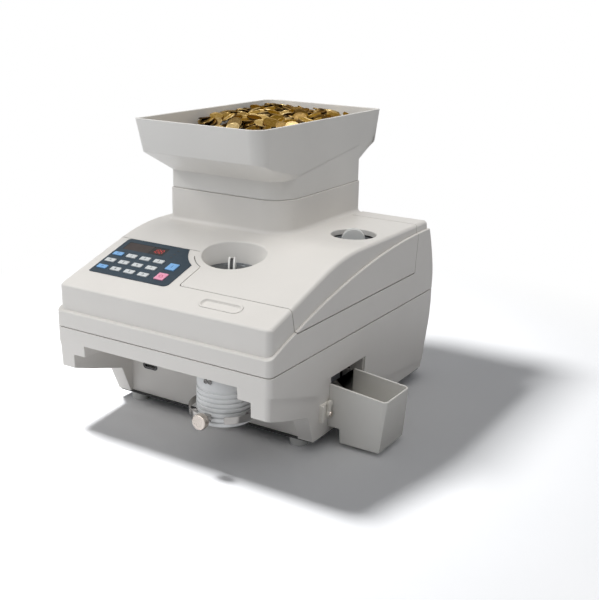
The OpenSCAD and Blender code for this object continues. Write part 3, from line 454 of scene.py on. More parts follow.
# colour, roughness, how far the lines are squeezed along each axis, their scale, drift of the colour
METALS = {
    "sheet_steel": ((0.56, 0.57, 0.59), 0.34, (1.0, 12.0, 1.0)),
    "dark_steel": ((0.12, 0.125, 0.13), 0.38),
    "dial_plate": ((0.13, 0.14, 0.15), 0.38, (8.0, 1.0, 1.0)),
    "screw_steel": ((0.22, 0.215, 0.21), 0.26),
    "band_chrome": ((0.46, 0.44, 0.42), 0.10, (1.0, 1.0, 20.0), 60.0, 0.04),
    "knob_nickel": ((0.70, 0.63, 0.57), 0.28, (1.0, 12.0, 1.0), 120.0, 0.04),
    "motor_black": ((0.05, 0.05, 0.055), 0.35),
}
for name, looks in PLASTICS.items():
    plastic(name, *looks)
for name, looks in METALS.items():
    metal(name, *looks)


def digit_glow():
    tree, shader = node_material("digit_glow", {"Base Color": (0.35, 0.01, 0.01, 1), "Roughness": 0.4,
                                                "Emission Strength": 0.6})
    glow = ramp(tree, noise(tree, 900.0, 2.0), (0.3, (0.55, 0.02, 0.01)), (0.7, (0.9, 0.05, 0.03)))
    fill(tree, shader, {"Emission Color": glow})


def coin_brass():
    """Worn brass with a tone per coin, from gold to brown, and a dark tone on the filled core that paints
    the shade between the coins. The specular tint keeps grazing views brown.
    """
    tree, shader = node_material("coin_brass", {"Metallic": 1.0, "Roughness": 0.3,
                                                "Specular Tint": (0.62, 0.44, 0.22, 1.0)})
    tone = add_node(tree, "Attribute", "Fac", attribute_name="tone")
    gold = ramp(tree, tone, (0.0, (0.07, 0.042, 0.018)), (0.5, (0.25, 0.165, 0.062)),
                (1.0, (0.60, 0.46, 0.23)))
    patina = ramp(tree, noise(tree, 260.0, 5.0, 0.6), (0.35, (0.55, 0.5, 0.45)), (0.62, (1.0, 1.0, 1.0)))
    worn = add_node(tree, "Mix", "Result", {"Factor": 0.6, "A": gold, "B": patina},
                    data_type="RGBA", blend_type="MULTIPLY")
    fill(tree, shader, {
        "Base Color": worn,
        "Roughness": spread(tree, noise(tree, 300.0), 0.2, 0.42),
        "Normal": bump(tree, noise(tree, 700.0, 4.0), 0.5, 0.00012)})


digit_glow()
coin_brass()

# ---- upper shells

def crown(t, z_low, rear_r=REAR_R):
    """The case above the ledge as one closed skin with filleted edges, moved in by t.

    Each station has the (y, z) of the outline, the (y, z) of the side edge, and the fillet's depth in x."""
    c, s, tn = cos(SLOPE_A), sin(SLOPE_A), tan(SLOPE_A)
    slope_end = 90 + degrees(SLOPE_A)
    front_r, edge_r = max(FRONT_R - t, 3), max(EDGE_R - t, 2)
    top_r = max(TOP_EDGE_R - t * 0.5, 1.5)
    y0 = SLOPE_Y + t
    corner = (y0, FRONT_TOP_Z + tn * t - t / c)
    reach = top_r * tan((pi / 2 - SLOPE_A) / 2)
    s_c = (front_r - edge_r * s) / c
    inner = (y0 + front_r, corner[1] + s_c * s - edge_r * c)

    def plan_depth(y):
        """Depth in x of the fillet where it follows the front corner's plan."""
        dy, step = y - y0, front_r - edge_r
        if dy <= edge_r:
            return front_r
        return front_r - sqrt(max(step ** 2 - max(front_r - dy, 0) ** 2, 0))

    def rounded(centre, r, a0, a1, n):
        """Stations around an arc of the outline."""
        outer, edge = (arc(*centre, radius, a0, a1, n) for radius in (r, r - edge_r))
        return [(p, q, edge_r) for p, q in zip(outer, edge)]

    stations = []
    for i in range(5):
        z = z_low + (corner[1] - reach - z_low) * i / 4
        stations.append(((y0, z), (inner[0], min(z, inner[1])), front_r))
    for p in arc(y0 + top_r, corner[1] - reach, top_r, 180, slope_end, 6)[1:]:
        stations.append((p, inner, plan_depth(p[0])))
    run = (ROUND_Y - SLOPE_Y) / c
    steps = [reach + (s_c - reach) * i / 6 for i in range(1, 7)]
    steps += [s_c + (run - s_c) * i / 6 for i in range(1, 6)]
    for d in steps:
        p = (corner[0] + d * c, corner[1] + d * s)
        q = inner if d <= s_c else (p[0] + edge_r * s, p[1] - edge_r * c)
        stations.append((p, q, plan_depth(p[0]) if d < s_c else edge_r))
    stations += rounded(ROUND_C, ROUND_R - t, slope_end, 90, 20)
    stations += rounded((HINGE_Y + REAR_R - rear_r, HINGE_Z + REAR_R - rear_r), rear_r - t, 90, 0, 12)
    for i in range(1, 13):
        z = HINGE_Z + (z_low - HINGE_Z) * i / 12
        blend = min(i / 6, 1.0)
        r = edge_r + (max(REAR_CORNER_R - t, 3) - edge_r) * blend * blend * (3 - 2 * blend)
        stations.append(((rear_y(z) - t, z), (rear_y(z) - t - r, z), r))

    half = CROWN_W - t
    rings = []
    for outline, edge, depth in stations:
        right = []
        for k in range(9):
            a = pi / 2 * k / 8
            right.append((half - depth + depth * sin(a), *mix(outline, edge, 1 - cos(a))))
        rings.append([(-x, y, z) for x, y, z in reversed(right)] + right)
    n, count = len(rings[0]), len(rings)
    faces = [(k * n + i, k * n + i + 1, (k + 1) * n + i + 1, (k + 1) * n + i)
             for k in range(count - 1) for i in range(n - 1)]
    last = (count - 1) * n
    faces.append(tuple(k * n for k in range(count)))
    faces.append(tuple(k * n + n - 1 for k in range(count)))
    faces.append(tuple(range(n)) + tuple(range(last + n - 1, last - 1, -1)))
    return raw([p for ring in rings for p in ring], faces)


def band():
    """The wider band below the ledge, with a rounded top edge."""
    side = [(-HALF_D, SEAM_Z + CASE_GAP), (-HALF_D, ledge_at(-HALF_D))]
    side += [(y, ledge_at(y)) for y in np.linspace(-HALF_D, LEDGE_Y, 40)[1:]]
    side += [(rear_y(z), z) for z in np.linspace(LEDGE_Z, SEAM_Z + CASE_GAP, 20)]
    plan = round_rect(-HALF_W, -HALF_D, HALF_W, HALF_D, [FRONT_R, FRONT_R, REAR_CORNER_R, REAR_CORNER_R], 14)
    solid = keep(prism(side, -FAR_X, FAR_X, "x"), prism(plan, 100, 260))
    bevel(tidy_faces(solid), 1.5, 4)
    for vertex in solid.data.vertices:          # the bevel bulges a little at the rear corners
        vertex.co.x = min(max(vertex.co.x, -HALF_W), HALF_W)
    return solid


def upper_solid():
    shell = join(crown(0, SEAM_Z + CASE_GAP), band())
    return cut(shell, crown(WALL, SEAM_Z - 5))


def hood_zone(g):
    """The space that the hood takes, grown by g."""
    front_y, left_y, skirt_z, roof_z = -166.0, -93.5, 168.4, 295
    cx, cy, r = 20.0, -72.0, 56 + g
    plan = [(FAR_X, front_y - g), (FAR_X, HINGE_Y), (-FAR_X, HINGE_Y), (-FAR_X, left_y - g)]
    plan += arc(cx, cy, r, 180 + degrees(asin((cy - left_y + g) / r)),
                270 - degrees(asin((cx + 2 + g) / r)), 16)
    plan += arc(2 - g, front_y - g + 4, 4, 180, 270, 6)

    def side(low_y, edge_y, edge_z):
        low_z = skirt_z - 1.7 * g           # the gap is wider under the skirt
        hinge_r = 27 - g
        rear_at = HINGE_Y - hinge_r * cos(radians(23))
        outline = [(low_y - g, low_z), (edge_y - g, edge_z), (edge_y - g, roof_z), (rear_at, roof_z)]
        return outline + arc(HINGE_Y, HINGE_Z, hinge_r, 157, 190, 8) + [(148 + g, low_z)]

    front_side, left_side = side(front_y + 7, front_y, 197), side(left_y + 18, left_y, 220)
    sides = join(prism(front_side, -20, 200, "x"), prism(left_side, -200, -25, "x"),
                 prism(front_side, -25.5, -19.5, "x"))
    zone = keep(sides, prism(plan, skirt_z - g, roof_z))
    return join(zone, block(-FAR_X, NECK[2] + 5 + g, 150, HALF_D, HINGE_Z - 2 - g, roof_z))


def ellipse(centre, a, b, n=72):
    turns = [2 * pi * i / n for i in range(n)]
    return [(centre[0] + a * cos(turn), centre[1] + b * sin(turn)) for turn in turns]


def well_cutter(centre, a, b, floor_at, floor_r, floor_z, lip, surface=surface_z):
    """The space of a dial's well: a soft lip, and walls that lean in to a round floor."""
    def ring(grow, drop):
        return [(x, y, surface(y) + drop) for x, y in ellipse(centre, a + grow, b + grow)]

    rings = [at_level(ring(lip + 1.5, 0), 260.0), ring(lip + 1.5, 0.4)]
    for k in range(7):
        t = radians(4 + 80 * k / 6)
        rings.append(ring(lip * (1 - sin(t)), -lip * (1 - cos(t))))
    top, low = rings[-1], ellipse(floor_at, floor_r, floor_r)
    for k in range(1, 5):
        g = k / 4
        ease = 1 - (1 - g) ** 1.35
        rings.append([(*mix(p[:2], q, ease), p[2] + (floor_z - p[2]) * g) for p, q in zip(top, low)])
    rings.append(at_level(rings[-1], floor_z - 12))
    return loft(rings)


def neck_outline(grow=0.0):
    x0, y0, x1, y1 = NECK
    return round_rect(x0 - grow, y0 - grow, x1 + grow, y1, [r + grow for r in NECK_RADII], 16)


def neck_foot():
    """The neck that carries the hopper, with a soft foot."""
    rings = []
    for k in range(9):
        a = radians(90 * k / 8)
        z = TOP_Z - 0.25 + FOOT_R * (1 - cos(a))
        rings.append([(x, min(y, NECK[3]), z) for x, y in neck_outline(FOOT_R * (1 - sin(a)))])
    rings.insert(0, at_level(rings[0], HINGE_Z + 8))
    rings.append(at_level(neck_outline(), NECK_Z - 0.5))
    rings.append(at_level(inset_rect(NECK, NECK_RADII, 0.5), NECK_Z))
    return loft(rings)


def hood_piece():
    hood = keep(upper_solid(), hood_zone(-SEAM_GAP / 2))
    collar = prism(neck_outline(), HINGE_Z + 3, TOP_Z + 1)
    front_well = well_cutter(WELL_AT, WELL_A + 2, WELL_B + 2, FRONT_DIAL, 33.5, 206.5, 0.5,
                             lambda y: surface_z(y) - 2)
    keep(front_well, crown(0.6, SEAM_Z))
    rear_well = prism(circle(*REAR_DIAL, 32, 60), 228, TOP_Z - 0.6)
    join(hood, neck_foot(), collar, front_well, rear_well)
    for x in (NECK[0] + 12, NECK[2] - 34):
        lug = join(prism(circle(HINGE_Y, HINGE_Z, 7, 40), x, x + 22, "x"),
                   block(x, x + 22, HINGE_Y - 7, HINGE_Y + 7, HINGE_Z, TOP_Z - 1))
        join(hood, keep(lug, crown(0.5, SEAM_Z)))
    cut(hood, prism(inset_rect(NECK, NECK_RADII, WALL), TOP_Z - 12, NECK_Z + 5))
    roof = keep(crown(0, SEAM_Z), prism(inset_rect(NECK, NECK_RADII, WALL - 0.5), TOP_Z - WALL, TOP_Z))
    cut(roof, prism(circle(*DISC, 78, 96), 200, 250))
    join(hood, roof)
    cut(hood, well_cutter(WELL_AT, WELL_A, WELL_B, FRONT_DIAL, 31.6, 204, 2.4),
        well_cutter(REAR_DIAL, 29.5, 29.5, REAR_DIAL, 29, 226, 1.6),
        prism(circle(HINGE_Y, HINGE_Z, HINGE_PIN_R, 32), NECK[0], NECK[2], "x"))
    finish_piece(tidy_faces(hood), "hood_shell", "hood", "case_plastic", "hood")


def upper_piece():
    case = upper_solid()
    join(case, *[prism(circle(x, y, POST_R, 32), SEAM_Z + CASE_GAP, SEAM_Z + 20) for x, y in CASE_POSTS])
    cut(case, hood_zone(SEAM_GAP / 2),
        prism(circle(HINGE_Y, HINGE_Z, REAR_R + 2, 60), -FAR_X, NECK[2] + 5.4, "x"))
    for places, w, d in ((SMALL_KEYS, 15.6, 7.9), (LARGE_KEYS, 14.6, 14.6)):
        cut(case, *[slope_prism(key_outline(w, d), -6, 6, *place) for place in places.values()])
    cut(case, slope_prism(key_outline(65, 17), -6, 6, PANEL[0] + 40.5, PANEL[1] + 66.5),
        slope_prism(pill_outline(BUTTON_W, BUTTON_D, 20), -10, 10, *BUTTON))
    for x in (PANEL[0] + 3, PANEL[2] - 12):
        for u in (PANEL[1] + 3, PANEL[3] - 14):
            join(case, slope_prism(circle(0, 0, 2.5, 20), -7.2, -2.5, x, u))
    corner = keep(crown(0, SEAM_Z, REAR_R - 4),
                  block(NECK[2] + 7, HALF_W + 1, HINGE_Y - 20, HALF_D, 200, 240))
    join(case, cut(corner, crown(WALL, SEAM_Z - 5)))
    ear = [(HINGE_Y - 5, HINGE_Z), (HINGE_Y - 3.5, HINGE_Z + 4), (HINGE_Y + 3.5, HINGE_Z + 4),
           (HINGE_Y + 4, HINGE_Z - 4), (HINGE_Y + 2.5, HINGE_Z - 12), (rear_y(196) - 2, HINGE_Z - 22),
           (rear_y(180) - 2, 180), (HINGE_Y - 5, 205)]
    join(case, *[prism(ear, x, x + 8, "x") for x in (NECK[0] - 9, NECK[2] + 10)])
    finish_piece(tidy_faces(case), "upper_shell", "case", "case_plastic", "upper_case")


upper_piece()
hood_piece()

# ---- hopper

NECK_FIT, SPIGOT_FIT, SPIGOT_D = 1.5, 2.0, 10
BOWL = (RIM[0] + 4, RIM[1] + 10, RIM[2] - 3, RIM[3] - 6)
RIM_RADII, BOWL_RADII = (5, 20, 6, 20), (4, 18, 4, 18)
TIP_Y, TIP_Z, REAR_CREASE_Z = 25.0, 309.0, 330.0


def hopper_rings(t):
    """The hopper's rim, bowl, flare and foot rings, moved in by t.

    The front right corner of the bowl runs on down the right side to a point."""
    n = 16
    first = n + 1                                       # points of one corner
    split, drop, crease = 0.6, 6, 0.6
    neck = inset_rect(NECK, NECK_RADII, NECK_FIT + t)
    rim, bowl = inset_rect(RIM, RIM_RADII, t, n, 1), inset_rect(BOWL, BOWL_RADII, t, n, 1)
    rim_x, bowl_x, neck_x = RIM[2] - t, BOWL[2] - t, NECK[2] - (NECK_FIT + t) + 0.3
    rim_y, bowl_y = rim[first + n][1], bowl[first + n][1]

    def corner_point(points, k):
        """The point at k steps around the front right corner."""
        low = int(k)
        return mix(points[first + min(low, n)], points[first + min(low + 1, n)], k - low)

    rings = [], [], [], []
    for i, (r, b, f) in enumerate(zip(rim, bowl, neck)):
        bz, fz = BOWL_Z, FLARE_Z
        if first <= i < 2 * first:                      # front right corner
            g = (i - first) / n
            if g <= split:
                b, r = (corner_point(points, g / split * n) for points in (bowl, rim))
                bz = BOWL_Z - drop * (g / split) ** 2
            else:
                w = (g - split) / (1 - split)
                bz = BOWL_Z - drop - (BOWL_Z - drop - TIP_Z) * w
                b = (bowl_x + (neck_x - bowl_x) * w, bowl_y + (TIP_Y - bowl_y) * w)
                r = (rim_x, rim_y + (TIP_Y - rim_y) * w)
            fz = FLARE_Z + (TIP_Z - crease - FLARE_Z) * g ** 3
        elif i == 2 * first:                            # rear right corner starts
            bz, fz = REAR_CREASE_Z, REAR_CREASE_Z - crease
            b = (neck_x, f[1])
        elif 2 * first < i < 3 * first:
            g = (i - 2 * first) / n
            bz = REAR_CREASE_Z + (BOWL_Z - REAR_CREASE_Z) * g
            fz = REAR_CREASE_Z - crease + (FLARE_Z - REAR_CREASE_Z + crease) * g ** 0.5
            b = (b[0] + (neck_x - b[0]) * (1 - g) ** 2, b[1])
        shift = 0.35 * t
        places = (*r, RIM_Z), (*b, bz + shift), (*f, fz + shift), (*f, NECK_Z + 0.3)
        for ring, place in zip(rings, places):
            ring.append(place)
    return rings


def hopper_piece():
    rim, bowl, flare, foot = hopper_rings(0)
    inner_rim, inner_bowl, inner_flare = hopper_rings(WALL)[:3]
    insets = (NECK_FIT + t + SPIGOT_FIT for t in (0, WALL))
    spigot, inner_spigot = (at_level(inset_rect(NECK, NECK_RADII, t), NECK_Z - SPIGOT_D) for t in insets)
    rings = [spigot, at_level(spigot, NECK_Z + 0.3), foot, flare, between(flare, bowl, 0.5), bowl,
             between(bowl, rim, 0.5), rim, inner_rim, between(inner_rim, inner_bowl, 0.5), inner_bowl,
             inner_flare, inner_spigot]
    hopper = bevel(loft(rings, wrap=True), 1.1, 3, 12)
    finish_piece(hopper, "hopper_shell", "hopper", "hopper_plastic", "hopper", smooth=38)


hopper_piece()

# ---- coins

COIN_SIZES = [(10.2, 1.8), (11.0, 2.0), (12.2, 2.3), (9.4, 1.7), (11.0, 2.0)]     # radius and thickness
TRIES, SEED = 2600, 11
LOOSE = 8.0             # depth of the loose coins on the filled core
CELL = 1.5              # of the height map
WOBBLE, TIPPED_SHARE, STEEPEST = 0.20, 0.34, 1.1        # slopes, and the share of coins that tip far
REST_PERCENTILE = 93    # of the heap under a coin, so a few points reach into it
COIN_SIDES = 24
# painted shade: a dark coin tone on the filled core, seen in the gaps between the loose coins
CORE_SHADE_TONE = 0.12


def heap(x, y):
    """Height of the finished heap: high at the left and rear, falling to the front and right."""
    hill = 370.5 - 0.008 * np.maximum(60 - y, 0) ** 2 - 0.0008 * np.maximum(x + 50, 0) ** 2
    return np.maximum(hill, 345.0) + 1.6 * np.sin(x / 13.0 + y / 21.0) * np.sin(y / 15.0)


def heap_at(x, y):
    return float(heap(np.float64(x), np.float64(y)))


def drop_coins():
    """Coins dropped one by one on a height map, over a filled core that follows the hopper's inside."""
    rnd = random.Random(SEED)
    x0, x1, y0, y1 = RIM[0] + 8, RIM[2] - 7.5, RIM[1] + 14, RIM[3] - 9
    xs, ys = (low + (np.arange(int((high - low) / CELL)) + 0.5) * CELL for low, high in ((x0, x1), (y0, y1)))
    grid_x, grid_y = np.meshgrid(xs, ys, indexing="ij")
    height = heap(grid_x, grid_y) - LOOSE
    coins = []
    for _ in range(TRIES):
        radius, thick = rnd.choice(COIN_SIZES)
        x = rnd.uniform(x0 + radius, x1 - radius)
        y = rnd.uniform(y0 + radius, y1 - radius)
        near = (grid_x - x) ** 2 + (grid_y - y) ** 2 < radius ** 2
        px, py, pz = grid_x[near] - x, grid_y[near] - y, height[near]
        slope = np.linalg.lstsq(np.c_[px, py, np.ones(px.size)], pz, rcond=None)[0]
        tilt = Vector((slope[0] + rnd.gauss(0, WOBBLE), slope[1] + rnd.gauss(0, WOBBLE)))
        if rnd.random() < TIPPED_SHARE:
            tilt += Vector((rnd.uniform(-1, 1), rnd.uniform(-0.2, 1)))
        if tilt.length > STEEPEST:
            tilt *= STEEPEST / tilt.length
        plane = tilt.x * px + tilt.y * py
        base = float(np.percentile(pz - plane, REST_PERCENTILE))
        top = base + thick
        reach = radius * sin(atan(tilt.length)) + thick
        if base + reach + 0.5 > RIM_Z - 1.0 or top > heap_at(x, y) + 1.0:
            continue
        height[near] = np.maximum(height[near], top + plane)
        normal = Vector((-tilt.x, -tilt.y, 1)).normalized()
        turn, tone = rnd.uniform(0, 6.28), rnd.random()
        coins.append(((x, y, base), normal, radius, thick, turn, tone, near, top + plane))
    shown = [coin for coin in coins if np.any(height[coin[6]] - coin[7] < 1.0)]     # the rest lie buried
    return [coin[:6] for coin in shown]


def coin_profile(radius, thick):
    """(radius, height) points from the middle of the lower face to that of the upper one."""
    rim = radius - 1.3
    lower = [(0.0, 0.35), (rim - 0.5, 0.35), (rim, 0.0), (radius - 0.25, 0.0), (radius, 0.25)]
    return lower + [(r, thick - h) for r, h in reversed(lower)]


def coin_mesh(coin, start):
    """Points and faces of one coin. Its points are numbered from start."""
    place, normal, radius, thick, turn, _ = coin
    side = normal.orthogonal().normalized()
    spin = Matrix.Rotation(turn, 3, normal)
    ax, ay = spin @ side, spin @ normal.cross(side)
    centre = Vector(place)
    middle, *rings, end = coin_profile(radius, thick)
    turns = [2 * pi * i / COIN_SIDES for i in range(COIN_SIDES)]
    verts = [centre + ax * (r * cos(a)) + ay * (r * sin(a)) + normal * h for r, h in rings for a in turns]
    low, high = start + len(verts), start + len(verts) + 1
    last = low - COIN_SIDES
    verts += [centre + normal * middle[1], centre + normal * end[1]]
    faces = ring_faces(len(rings), COIN_SIDES, start)
    for i in range(COIN_SIDES):
        j = (i + 1) % COIN_SIDES
        faces += [(low, start + j, start + i), (high, last + i, last + j)]
    return verts, faces


def core_rings():
    """The filled core: rings inside the hopper's wall, from the neck up to the loose coins."""
    radii = [10, 16, 10, 16]
    foot = round_rect(NECK[0] + 7, NECK[1] + 7, NECK[2] - 7, NECK[3] - 7, [6, 34, 10, 10], 8)
    wide = (RIM[0] + 10, RIM[1] + 16, RIM[2] - 12, RIM[3] - 17)
    edge = round_rect(*wide, radii, 8)
    rings = [at_level(between(foot, edge, (z - 303.0) / 36.0), z) for z in (308.0, 320.0, 333.0)]
    brim = round_rect(wide[0] - 2, wide[1] - 2, wide[2] + 2, wide[3] + 2, radii, 8)
    rings.append([(x, y, max(heap_at(x, y) - LOOSE - 1.0, 336.0)) for x, y in brim])
    cx, cy = (wide[0] + wide[2]) / 2, (wide[1] + wide[3]) / 2
    for g in (0.8, 0.6, 0.4, 0.2, 0.03):
        ring = [(cx + (x - cx) * g, cy + (y - cy) * g) for x, y in edge]
        rings.append([(x, y, max(heap_at(x, y) - LOOSE - 0.5, 336.5)) for x, y in ring])
    return rings


def coin_heap():
    """The loose coins and the filled core as one piece."""
    verts, faces, tone_of = [], [], []
    for coin in drop_coins():
        points, skin = coin_mesh(coin, len(verts))
        verts += points
        faces += skin
        tone_of += [coin[-1]] * len(points)
    rings, start = core_rings(), len(verts)
    n, last = len(rings[0]), start + (len(rings) - 1) * len(rings[0])
    verts += [Vector(p) for ring in rings for p in ring]
    faces += ring_faces(len(rings), n, start)
    faces += [tuple(start + n - 1 - i for i in range(n)), tuple(last + i for i in range(n))]
    # the core takes a dark tone: painted shade between the loose coins
    tone_of += [CORE_SHADE_TONE] * (len(verts) - start)

    mesh = bpy.data.meshes.new("coins")
    mesh.from_pydata([tuple(v) for v in verts], [], faces)
    mesh.attributes.new("tone", "FLOAT", "POINT").data.foreach_set("value", tone_of)
    finish_piece(add_object("coins", mesh), "coins", "hopper", "coin_brass", smooth=35,
                 weighted=False)


coin_heap()

# ---- panel, keys and button

KEY_W, KEY_D, BIG_KEY, KEY_TOP = 15.0, 7.3, 14.0, 1.8
KEY_COLOURS = {"key_r1c1": "key_blue", "key_r3c1": "key_blue",      # the others are grey
               "key_start": "key_blue", "key_stop": "key_pink"}
KEY_INKS = {"key_grey": "key_ink", "key_blue": "key_ink_blue", "key_pink": "key_ink_red"}
WINDOW = (PANEL[0] + 8, PANEL[3] - 25, 65.0, 17.0)
WINDOW_SPLIT, WINDOW_TOP = 41.0, 0.6
SEGMENTS = {"1": "bc", "8": "abcdefg"}
FONT_SIZE = 1.42                            # for characters of height 1


def glyph(text, height, place):
    """Extruded characters of Blender's own font, centred on a place of the control face."""
    curve = bpy.data.curves.new("glyph", "FONT")
    curve.body, curve.size, curve.extrude = text, height * FONT_SIZE, 0.05
    curve.align_x, curve.align_y = "CENTER", "CENTER"
    temp = add_object("glyph", curve)
    bpy.context.view_layer.update()
    mesh = bpy.data.meshes.new_from_object(temp.evaluated_get(bpy.context.evaluated_depsgraph_get()))
    bpy.data.objects.remove(temp)
    middle = []
    for axis in (0, 1):
        across = [v.co[axis] for v in mesh.vertices]
        middle.append(-(min(across) + max(across)) / 2)
    mesh.transform(CONTROL_FACE @ Matrix.Translation(place) @ Matrix.Translation((*middle, 0)))
    return add_object("glyph", mesh)


def key_piece(node, x, u, w, d, colour, text, height):
    cap = bevel(slope_prism(key_outline(w, d, 0.7), -5, KEY_TOP, x, u), 0.45, 3)
    join(cap, slope_prism(key_outline(w + 1.6, d + 1.2, 0.5), -6, -4.4, x, u))
    mark = glyph(text, height, (x, u, KEY_TOP + 0.02))
    finish_piece(merge([cap, mark]), node + "_cap", node, [colour, KEY_INKS[colour]], node)


def seven_segments(digit, x, u, w, h, top):
    """Bars of one seven-segment digit on the window."""
    bars = {"a": (0, h / 2, w - 1, 0), "g": (0, 0, w - 1, 0), "d": (0, -h / 2, w - 1, 0),
            "b": (w / 2, h / 4, 0, h / 2 - 1), "c": (w / 2, -h / 4, 0, h / 2 - 1),
            "f": (-w / 2, h / 4, 0, h / 2 - 1), "e": (-w / 2, -h / 4, 0, h / 2 - 1)}
    made = []
    lean, half = 0.12, 0.3
    for bar in SEGMENTS[digit]:
        bx, bu, bw, bh = bars[bar]
        bx += bu * lean
        if bw:
            end = bw / 2 - half
            shape = [(-bw / 2, 0), (-end, -half), (end, -half), (bw / 2, 0), (end, half), (-end, half)]
        else:
            end, shear = bh / 2 - half, bh * lean / 2
            shape = [(-shear, -bh / 2), (half, -end), (half + shear, end),
                     (shear, bh / 2), (-half, end), (-half - shear, -end)]
        made.append(slope_prism(shape, top - 0.15, top + 0.03, x + bx, u + bu))
    return made


def display_piece():
    x, u, w, d = WINDOW
    parts = []
    for x0, x1, a, b in ((0, WINDOW_SPLIT - 0.05, 1, 0.2), (WINDOW_SPLIT + 0.05, w, 0.2, 1)):
        half = slope_prism(round_rect(x0, 0, x1, d, [a, b, b, a], 3), -WALL, WINDOW_TOP, x, u)
        parts.append(bevel(half, 0.15))
    digits = []
    for k, digit in enumerate("188"):
        digits += seven_segments(digit, x + 46.5 + 5.8 * k, u + d / 2, 3.8, 8.4, WINDOW_TOP)
    glass = merge([*parts, merge(digits, alike=True)])
    finish_piece(glass, "display_glass", "case", ["window_brown", "window_dark", "digit_glow"],
                 "display_window")


def panel_piece():
    film = bevel(tidy_faces(cad_copy("control_panel"), 1.0), 0.22)
    lamp = pill_outline(3.6, 2.0, 6)
    marks = [bevel(slope_prism(lamp, 0.75, 0.95, PANEL[0] + 87.0, PANEL[3] - u), 0.08, 1)
             for u in (8.5, 17.0, 24.0)]
    panel = merge([film, merge(marks, alike=True)])
    finish_piece(panel, "panel_overlay", "case", ["panel_film", "black_plastic"], "control_panel")


def button_piece():
    w, d = BUTTON_W - 0.8, BUTTON_D - 0.8

    def oval(less_w, less_d, h):
        return [tuple(CONTROL_FACE @ Vector((BUTTON[0] + x, BUTTON[1] + u, h)))
                for x, u in pill_outline(w - less_w, d - less_d, 20)]

    cap = bevel(slope_prism(pill_outline(w, d, 20), -6, 0.6, *BUTTON), 0.5, 4)
    dish = [oval(5.0, 4.5, 4)]
    for k in range(7):                      # a shallow dish with soft sides
        g = k / 6
        dish.append(oval(5.0 + 5.0 * g, 4.5 + 4.0 * g, 0.62 - 2.6 * sin(pi / 2 * g)))
    cut(cap, loft(dish))
    flange = cut(slope_prism(pill_outline(w + 2.8, d + 2.8, 20), -5.8, -3.4, *BUTTON),
                 slope_prism(pill_outline(w - 1.5, d - 1.5, 20), -5.9, -3.3, *BUTTON))
    finish_piece(join(cap, flange), "release_cap", "release_button", "case_plastic", "release_button")


for (node, place), text in zip({**SMALL_KEYS, **LARGE_KEYS}.items(), "C123" "4567" "P890" "IO"):
    w, d, height = (BIG_KEY, BIG_KEY, 5.6) if node in LARGE_KEYS else (KEY_W, KEY_D, 3.9)
    key_piece(node, *place, w, d, KEY_COLOURS.get(node, "key_grey"), text, height)
display_piece()
panel_piece()
button_piece()

# ---- dials

GRIP_R, GRIP_A, BLADE_T, BLADE_GAP = 15.5, 31.3, 2.4, 6.2


def dial_piece(node, centre, top, r, angle, name):
    """A round plate with an inlaid ring, and two half-round blades to turn it by."""
    plate = lathe([
        (0.01, -2.2), (0.01, -0.5), (r - 9.4, -0.5), (r - 9.0, 0.0), (r - 6.6, 0.0), (r - 6.2, -0.5),
        (r - 2.0, -0.5), (r - 1.7, -0.1), (r - 0.2, -0.2), (r, -0.7), (r, -2.2)], (*centre, top), 96)
    turned = Matrix.Translation((*centre, top - 0.3)) @ Matrix.Rotation(radians(angle), 4, "Z")

    def half_disc(radius, middle, width):
        return prism(arc(0, 0, radius, 0, 180, 24), *around(middle, width), "y")

    blades = [bevel(half_disc(GRIP_R, side * BLADE_GAP / 2, BLADE_T), 0.7, 3) for side in (-1, 1)]
    web = half_disc(GRIP_R - 1.6, 0, BLADE_GAP - BLADE_T)
    for obj in (*blades, web):
        obj.data.transform(turned)
    foot = 192.0 - top
    shaft = lathe([(0.01, foot), (4.9, foot), (4.9, -2.0), (0.01, -2.0)], (*centre, top), 32)
    dial = merge([plate, merge(blades, alike=True), web, shaft])
    looks = ["dial_plate", "dial_white", "black_plastic", "sheet_steel"]
    finish_piece(dial, name, node, looks, node)


dial_piece("diameter_dial", FRONT_DIAL, 205.0, 31.0, GRIP_A - 90, "diameter_knob")
dial_piece("thickness_dial", REAR_DIAL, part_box("thickness_dial")[1][2] * 1000 - GRIP_R, 28.0, GRIP_A,
           "thickness_knob")

# ---- lower case, tube, clamp and tray

BASE_Z, FLOOR_Z = 12.0, 13.5
CREASE_Z, CHEEK_Z, STEP_Z, LIP_Z = 107.5, 79.0, 97.0, 112.0
BASE_FRONT_Y, FAR_FRONT_Y = -104.5, -HALF_D - 10
CHEEK_X, RECESS_X = 133.0, 115.0
TRAY_Y = (-76.0, -12.0)
OPEN_Y = (TRAY_Y[0] + 3.0, TRAY_Y[1] + 22.0)
SILL_Z, OPEN_Z = 23.0, 88.0
PORT, INLET_X, SWITCH_X = (-102.0, 54.0), (-118, -82), (-75, -53)
SCREW_X, SCREW_Z = (-3, 3), TUBE_TOP - 12.5             # SCREW_X is from the tube's middle
CREASE = [(-228.0, 113.0), (-167.0, 94.0), (-145.0, 86.8), (-120.0, 78.8), (-96.0, 71.6), (-60.0, 62.0),
          (-20.0, 53.0), (30.0, 44.5), (81.0, 38.0), (131.0, 32.0), (206.0, 24.0), (230.0, 22.0)]
